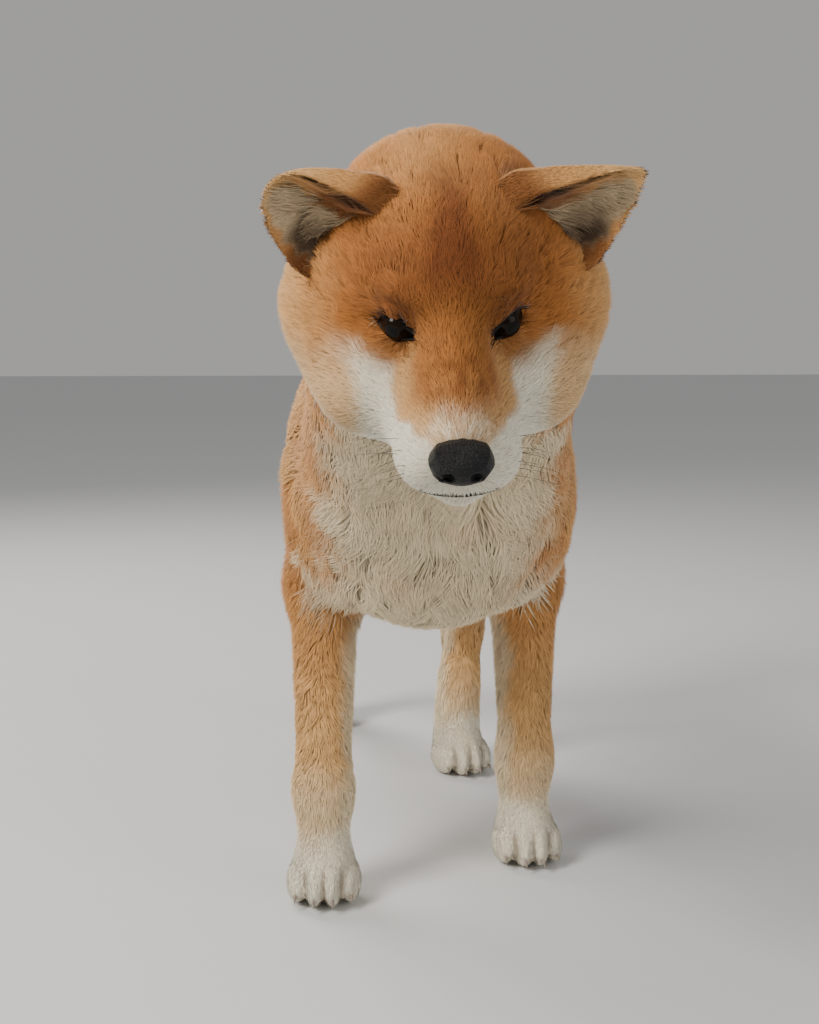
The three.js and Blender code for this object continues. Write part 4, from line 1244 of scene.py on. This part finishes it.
def grow(name, seed, weight, count, length, width, rings, lift, lock=0.0, gather=0.0, sway=0.25,
         tips=None, darker=0.75, vary=0.16):
    """One piece of coat. weight is how dense it stands on each triangle of the skin."""
    random = np.random.default_rng(seed)
    roots = pick_roots(random, weight, int(count * COUNT_SCALE))
    count, normal = len(roots["at"]), roots["normal"]
    turn = random.normal(size=count) * sway
    long = length * random.uniform(0.7, 1.2, count)
    shade = random.uniform(1 - vary, 1 + vary, count)
    pull = np.zeros((count, 3))
    if lock:
        locks = max(int((weight * triangle_area).sum() / lock**2), 8)
        turn, shade, pull = in_locks(random, roots["at"], locks, gather, turn, shade)
    lie = unit(roots["lie"] + np.cross(normal, roots["lie"]) * turn[:, None])
    aside = np.cross(normal, lie)

    steps = np.linspace(0, 1, rings + 1)
    points, tints, faced = (np.empty((count, rings * 3 + 1, 3)) for _ in range(3))
    steady = np.ones(count, bool)
    for k, t in enumerate(steps):
        rise = (roots["depth"] * lift * (1 - (1 - t) ** 2) * random.uniform(0.75, 1.1, count))
        rise = rise - ROOT_SUNK * (t == 0)
        middle = roots["at"] + lie * (long * t)[:, None] + pull * t**1.5
        if k:
            middle, there = settled(middle, roots, rise, 0.5 * long)
            steady &= there
        # Painted shade: the tint darkens from the tip down to the root.
        tint = roots["colour"] * ((darker + (TIP_TONE - darker) * t) * shade)[:, None]
        if tips is not None and t > 0.6:
            tint = tinted(tint, tips, (random.random(count) < TIPPED_SHARE) * TIP_AMOUNT)
        half = width / 2 * (1 - t) ** 0.6
        for corner, (x, y) in enumerate(BLADE if k < rings else ()):
            points[:, 3 * k + corner] = middle + (aside * x + normal * y) * half
            faced[:, 3 * k + corner] = unit(aside * x + normal * (0.4 + y))
        tints[:, 3 * k:3 * k + 3] = tint[:, None]
    points[:, -1], faced[:, -1] = middle, normal
    roots = {what: values[steady] for what, values in roots.items()}
    mesh = tuft_mesh(name, roots, points[steady], tints[steady], faced[steady], steps)
    return add_piece(name, mesh, coat_finish)


print("a root is sunk", ROOT_SUNK, "mm into the skin")

# %% [markdown]
# A shiba's hair changes from part to part: stubble on the muzzle, a dense plush on the head, guard
# hairs on the back, a brush on the tail. One piece for each keeps them easy to tell apart and to
# change. Vertex groups could hold such areas. Here each is an array with a weight for every
# triangle of the skin, from the part of the body it is in and a fading mask.

# %% Where each kind of fur grows
def is_group(*names):
    return np.isin(triangle_group, [GROUP_NAMES.index(name) for name in names]).astype(float)


middle_q = into(triangle_middle, HEAD)
left = triangle_middle[:, 0] > 0
on_ear = triangle_ear >= EAR_SHARE
head_area = is_group("head") * ~on_ear
snout = ramp(-middle_q[:, 1], -8, 4)
muzzle_area = head_area * snout
brow_area = head_area * (1 - snout) * (1 - ramp(middle_q[:, 1], 38, 60))
crown_area = head_area * ramp(middle_q[:, 1], 38, 60)
front_area = is_group("torso", "neck") * ramp(-triangle_normal[:, 1], 0.05, 0.35)
front_area = front_area * ramp(-triangle_middle[:, 1], 120, 150)
back_area = is_group("torso") * (1 - front_area)
nape_area = is_group("neck") * (1 - front_area)
print("head", int((head_area * triangle_area).sum() / 100), "cm2")

# %% Legs, tail and ears
low_leg = 1 - ramp(triangle_middle[:, 2], 40, 60)
fore_area = is_group("foreleg_left", "foreleg_right") * (1 - low_leg)
hind_area = is_group("hindleg_left", "hindleg_right") * (1 - low_leg)
paw_area = is_group(*LEGS) * low_leg
paw_area = paw_area * ramp(triangle_middle[:, 2], 2, 5)
tail_area = is_group("tail")
ear_area = on_ear.astype(float)
cup_area = np.zeros(len(corners))
for name in EARS:
    up, across, (_, _, opening) = ear_measure(triangle_middle, name)
    here = on_ear & (middle_q[:, 0] * EARS[name]["side"] > 0) & (triangle_normal @ opening > 0.1)
    cup_area += here * ramp(across, -0.75, -0.55) * ramp(-across, -0.3, 0.1) * ramp(-up, -0.7, -0.4)
print("ears", int((ear_area * triangle_area).sum() / 100), "cm2")

# %% [markdown]
# Each line of the coat says how many tufts a piece has, how long and wide they are in millimetres,
# how many rings a tuft has, how far it rises through the coat's depth, and how wide and how tight
# its locks are. Short fur on the face is many small tufts. On the back and tail fewer, larger ones
# are enough, because they overlap. No piece of the coat goes over 200,000 triangles, so the model
# can still be turned and looked at quickly.

# %% The coat
coat = [
    grow("coat_muzzle", 11, muzzle_area, 35000, 4.5, 0.5, 1, 1.1, vary=0.24),
    grow("coat_brow", 12, brow_area, 44000, 7.5, 0.6, 1, 1.1, 5, 0.1, vary=0.24),
    grow("coat_crown_left", 13, crown_area * left, 39500, 12.0, 0.8, 1, 1.1, 7, 0.15, vary=0.26),
    grow("coat_crown_right", 14, crown_area * ~left, 39500, 12.0, 0.8, 1, 1.1, 7, 0.15, vary=0.26),
    grow("coat_nape", 15, nape_area, 12500, 24.0, 1.7, 2, 1.0, 12, 0.25, tips=SABLE),
    grow("coat_chest", 16, front_area, 18500, 27.0, 1.1, 2, 1.05, 13, 0.4, sway=0.4),
    grow("coat_back_left", 17, back_area * left, 10500, 24.0, 2.0, 2, 1.0, 12, 0.2, tips=SABLE),
    grow("coat_back_right", 18, back_area * ~left, 10500, 24.0, 2.0, 2, 1.0, 12, 0.2, tips=SABLE),
    grow("coat_forelegs", 19, fore_area, 40000, 8.0, 0.9, 1, 0.9, 6, 0.06),
    grow("coat_hindlegs", 20, hind_area, 42000, 12.0, 1.2, 1, 0.9, 9, 0.15),
    grow("coat_paws", 21, paw_area, 32000, 3.4, 0.6, 1, 0.75, darker=0.9),
    grow("coat_tail", 22, tail_area, 12500, 40.0, 1.9, 3, 1.0, 13, 0.32),
    grow("coat_ears", 23, ear_area, 24000, 3.2, 0.55, 1, 0.5, sway=0.15, darker=0.85),
    grow("ear_hair", 24, cup_area, 3600, 15.0, 0.6, 2, 3.0, 5, 0.3, sway=0.3),
]
print("coat", sum(len(piece.data.polygons) for piece in coat), "triangles")

# %% [markdown]
# The eyeball is a dark, wet sphere with a clear bulge in front. A sphere with a painted picture of
# an iris would be the usual way. Here it is turned from rings of points, close together in front,
# whose colours go from the pupil over the brown iris to the dark white of the eye. All are kept
# near
# black: the eye's own dark colours, deepened by painted shade from the lids.

# %% Eyeballs
# Near-black colours: the eye's own, deepened as painted shade from the lids.
EYE_COLOURS = {"pupil": (0.002, 0.002, 0.002), "iris": (0.012, 0.006, 0.003),
               "edge": (0.006, 0.004, 0.003), "white": (0.02, 0.014, 0.012)}
BULGE = 0.8
EYE_SEGMENTS = 64
eye_finish = tinted_material("wet_eye", {
    "Roughness": 0.1, "Specular IOR Level": 0.08, "Coat Weight": 0.08, "Coat Roughness": 0.03})


def turned(rings, segments):
    """Faces of a grid of rings, open at both ends."""
    i, j = np.meshgrid(np.arange(rings - 1), np.arange(segments), indexing="ij")
    after = (j + 1) % segments
    here, above = i * segments, (i + 1) * segments
    faces = [here + j, here + after, above + after, above + j]
    return np.stack([f.ravel() for f in faces], 1)


def add_eyeball(side):
    angles = np.radians(np.concatenate([np.linspace(0.5, 60, 60), np.linspace(64, 179.5, 24)]))
    around = np.linspace(0, 2 * math.pi, EYE_SEGMENTS, endpoint=False)
    angle, turn = np.meshgrid(angles, around, indexing="ij")
    radius = EYE_RADIUS - 0.15 + BULGE * ramp(-np.degrees(angle), -42, -18)
    way = [np.sin(angle) * np.cos(turn), np.sin(angle) * np.sin(turn), np.cos(angle)]
    local = (np.stack(way, -1) * radius[..., None]).reshape(-1, 3)
    faces = turned(len(angles), EYE_SEGMENTS)
    mesh = new_mesh(f"eyeball_{side}", to_frame(carry(local, EYES[side])), faces, 4)
    pupil, iris, edge, white = (np.array(colour) for colour in EYE_COLOURS.values())
    degrees = np.degrees(angle).ravel()
    streak = 0.75 + 0.25 * np.sin(turn * 23).ravel() * np.sin(turn * 7 + 1).ravel()
    colour = mix(pupil, iris * streak[:, None], ramp(degrees, 15, 18)[:, None])
    colour = mix(colour, edge, ramp(degrees, 33, 40)[:, None])
    colour = mix(colour, white, ramp(degrees, 44, 60)[:, None])
    set_colours(mesh, colour)
    return add_piece(f"eyeball_{side}", mesh, eye_finish, [f"eye_{side}"])


for side in EYES:
    add_eyeball(side)

# %% [markdown]
# Each eye is framed by black, hairless skin that ends in a point at the inner corner. A bevelled
# curve would have the same section all round. This rim is a ring with six edges, given in the
# eye's own space: it starts on the skin, rises to a crest and goes down inside the lids to the
# eyeball.

# %% Where the lids lie
def skin_height(points, within, level, top=22.0):
    """How far along z of a space the coat's surface lies over each (x, y), coming from outside."""
    heights = np.arange(top, -12, -0.2)
    count = len(points)
    grid = np.empty((count, len(heights), 3))
    grid[:, :, :2] = np.asarray(points)[:, None]
    grid[:, :, 2] = heights
    inside = coat_surface(carry(grid.reshape(-1, 3), within)).reshape(count, -1) < level
    return heights[inside.argmax(1)]


def lid_line(turn):
    """The edge of the lids, seen along the gaze, with the tear corner drawn out."""
    x = np.cos(turn) * LID["half"]
    arch = np.abs(np.sin(turn)) ** 1.3
    y = np.where(np.sin(turn) > 0, LID["rise"] * arch, -LID["drop"] * arch)
    inner = ramp(-x, LID["half"] - 3.5, LID["half"])
    x = x - 2.2 * inner
    return np.stack([x, y + LID["tilt"] * x - 1.2 * inner], 1)


leather = new_material("black_skin", {
    "Base Color": (0.008, 0.007, 0.007, 1), "Roughness": 0.55, "Specular IOR Level": 0.2})
print("the lids reach from", lid_line(np.array([math.pi, 0.0]))[:, 0], "mm")

# %% Lid rims
RIM_SEGMENTS, RIM_ROUNDS = 80, 10
# How far outside the lids' edge and how far above the skin each of the six edges lies.
RIM_PROFILE = [(1.9, -0.9), (0.9, 0.15), (0.1, 0.1), (-0.35, -0.6), (-0.2, -4.5), (1.5, -4.5)]


def ring_mesh(name, rings, within):
    """A closed band from rings of points that each run round once."""
    count, segments = len(rings), len(rings[0])
    faces = turned(count, segments)
    j = np.arange(segments)
    last = (count - 1) * segments
    after = (j + 1) % segments
    faces = np.vstack([faces, np.stack([last + j, last + after, after, j], 1)])
    return new_mesh(name, to_frame(carry(np.vstack(rings), within)), faces, 4)


def add_lid_rim(side):
    line = lid_line(np.linspace(0, 2 * math.pi, RIM_SEGMENTS, endpoint=False))
    out = unit(line * np.array((1, 2.5)))
    height = skin_height(line + out * 2.2, EYES[side], -1.4)
    for _ in range(RIM_ROUNDS):
        height = (height + np.roll(height, 1) + np.roll(height, -1)) / 3
    rings = [np.column_stack([line + out * over, height + up]) for over, up in RIM_PROFILE]
    mesh = ring_mesh(f"lid_rim_{side}", rings[::-1] if side == "left" else rings, EYES[side])
    return add_piece(f"lid_rim_{side}", mesh, leather)


for side in EYES:
    add_lid_rim(side)

# %% [markdown]
# The nose is wet leather with a fine pebble and two comma-shaped nostrils. Its solid already has
# the form, so a finer remesh rounds it, where sculpting would start over. Noise gives the pebble,
# and a painted highlight on top, speckled and paler, stands for the light that the pebble catches.

# %% Nose
NOSE_BLACK, NOSE_GLINT = np.array((0.003, 0.003, 0.004)), np.array((0.02, 0.019, 0.02))
nose_finish = tinted_material("nose_leather", {"Roughness": 0.32, "Specular IOR Level": 0.26})
add_bump(nose_finish, 1100, 1.0, 0.0016)
NOSE_VOXEL, NOSE_ROUNDS = 0.0006, 14
nose_mesh = fused(["nose"], NOSE_VOXEL, NOSE_ROUNDS)
nose_points = read(nose_mesh.vertices, "co", 3).astype(float)
nose_q = into(to_body(nose_points), HEAD)
# Painted highlight: a speckled, paler patch on the top of the nose.
speckle = ramp(waves(nose_points / MM, 0.55, 31), -0.2, 0.8)
painted_glint = ramp(nose_q[:, 2], -24, -14) * ramp(-nose_q[:, 1], 62, 74) * (0.15 + 0.85 * speckle)
set_colours(nose_mesh, mix(NOSE_BLACK, NOSE_GLINT, painted_glint[:, None]))
add_piece("nose_leather", nose_mesh, nose_finish, ["nose"])

# %% [markdown]
# The lips meet in a dark line that starts under the nose and runs back along the muzzle. A groove
# in the skin would be filled by the fur round it. So a thin dark tube lies in the parting that
# was kept free, thickest in the middle.

# %% Mouth line
def tube(name, path, out, thickness):
    """An open tube of eight sides along a path, in body space."""
    ahead = np.roll(path, -1, 0) - np.roll(path, 1, 0)
    ahead[0], ahead[-1] = path[1] - path[0], path[-1] - path[-2]
    up = unit(np.cross(unit(ahead), out))
    turn = np.linspace(0, 2 * math.pi, 8, endpoint=False)[None, :, None]
    wide = np.asarray(thickness)[:, None, None]
    rings = path[:, None] + (out[:, None] * np.cos(turn) + up[:, None] * np.sin(turn)) * wide
    return new_mesh(name, to_frame(rings.reshape(-1, 3)), turned(len(path), 8), 4)


thick = 1.15 - 0.5 * np.abs(np.linspace(-1, 1, MOUTH_STEPS)) ** 2
mouth_mesh = tube("mouth_line", carry(mouth_at, HEAD), mouth_out @ HEAD[:3, :3].T, thick)
add_piece("mouth_line", mouth_mesh, leather)

# %% [markdown]
# Whiskers are stiff, dark hairs in rows on the muzzle, with a few over the eyes. The lashes at the
# outer corners are short and pale. Curves with a bevel would do for so few hairs. They are made as
# thin tapering tubes that sag a little, because the faces of a tube are known already.

# %% Single hairs
HAIR_RINGS = 7
HAIR_RADIUS = 0.13


def add_hairs(name, hairs, within, material):
    """One piece of single hairs. A hair is its root, its way, its length and its sag."""
    t = np.linspace(0, 1, HAIR_RINGS)
    rings, faces = [], []
    for number, (root, way, long, sag) in enumerate(hairs):
        way = unit(np.array(way, float))
        line = np.array(root) + np.outer(t * long, way) + np.outer(t**2 * sag, (0, 0.3, -1))
        side_a = unit(np.cross(way, (0, 0, 1)))
        side_b = np.cross(way, side_a)
        for point, wide in zip(line, HAIR_RADIUS * (1 - t) + 0.04):
            for angle in (0.5, 2.6, 4.7):
                rings.append(point + (side_a * math.cos(angle) + side_b * math.sin(angle)) * wide)
        faces.append(turned(HAIR_RINGS, 3) + number * HAIR_RINGS * 3)
    mesh = new_mesh(name, to_frame(carry(np.array(rings), within)), np.vstack(faces), 4)
    return add_piece(name, mesh, material)


def on_coat(root, way):
    """Where a line from inside the head comes out of the skin."""
    walk = np.array(root) + np.outer(np.arange(-6, 24, 0.3), unit(np.array(way, float)))
    return walk[(coat_surface(carry(walk, HEAD)) > -2.0).argmax()]


print("a hair over the eye starts at", on_coat((15, 4, 14), (0.3, -0.75, 0.5)).round(1))

# %% Whiskers
def muzzle_whiskers():
    random = np.random.default_rng(41)
    hairs = []
    for s in BOTH:
        for row in range(3):
            for k in range(3):
                way = (s * random.uniform(0.75, 1.0), random.uniform(-0.1, 0.45),
                       random.uniform(-0.5, 0.05) - 0.08 * row)
                root = on_coat((s * 17, -60 + 8 * k, -34 - 4 * row), way)
                hairs.append((root, way, random.uniform(14, 26), random.uniform(3, 7)))
        for k in range(3):
            way = (s * 0.3, -0.75, 0.5)
            hairs.append((on_coat((s * (15 + 4 * k), 4, 14), way), way, random.uniform(10, 15), 3))
    return hairs


whisker = new_material("whisker", {"Base Color": (0.02, 0.015, 0.012, 1), "Roughness": 0.4})
add_hairs("whiskers", muzzle_whiskers(), HEAD, whisker)

# %% Lashes
def outer_lashes():
    random = np.random.default_rng(42)
    hairs = []
    for k in range(9):
        line = lid_line(np.array([0.15 + 0.13 * k]))
        height = skin_height(line * 1.1, EYES["left"], -1.0)[0]
        way = (0.5 * random.uniform(0.4, 1), 0.2 + 0.1 * k, 0.8)
        hairs.append(((*line[0], height - 0.6), way, random.uniform(4.5, 8), 3.0))
    return hairs


lash = new_material("lash", {"Base Color": (0.5, 0.4, 0.3, 1), "Roughness": 0.5})
for side in EYES:
    add_hairs(f"lashes_{side}", outer_lashes(), EYES[side], lash)

# %% [markdown]
# A dog's claws are curved cones of horn, blunt from walking, that show beyond the fur of the toes.
# Their solids have that form. Remeshing them fine and smoothing a little rounds the points, which
# is quicker than a new curve for each toe, and keeps each claw exactly where its toe is.

# %% Claws
CLAW_VOXEL, CLAW_ROUNDS = 0.0005, 4
claw_finish = new_material("claw_horn", {"Base Color": (0.26, 0.21, 0.17, 1), "Roughness": 0.35})
for leg in LEGS:
    own = [name for name in CLAWS if name.startswith(leg)]
    add_piece(f"claws_{leg}", fused(own, CLAW_VOXEL, CLAW_ROUNDS), claw_finish, own)
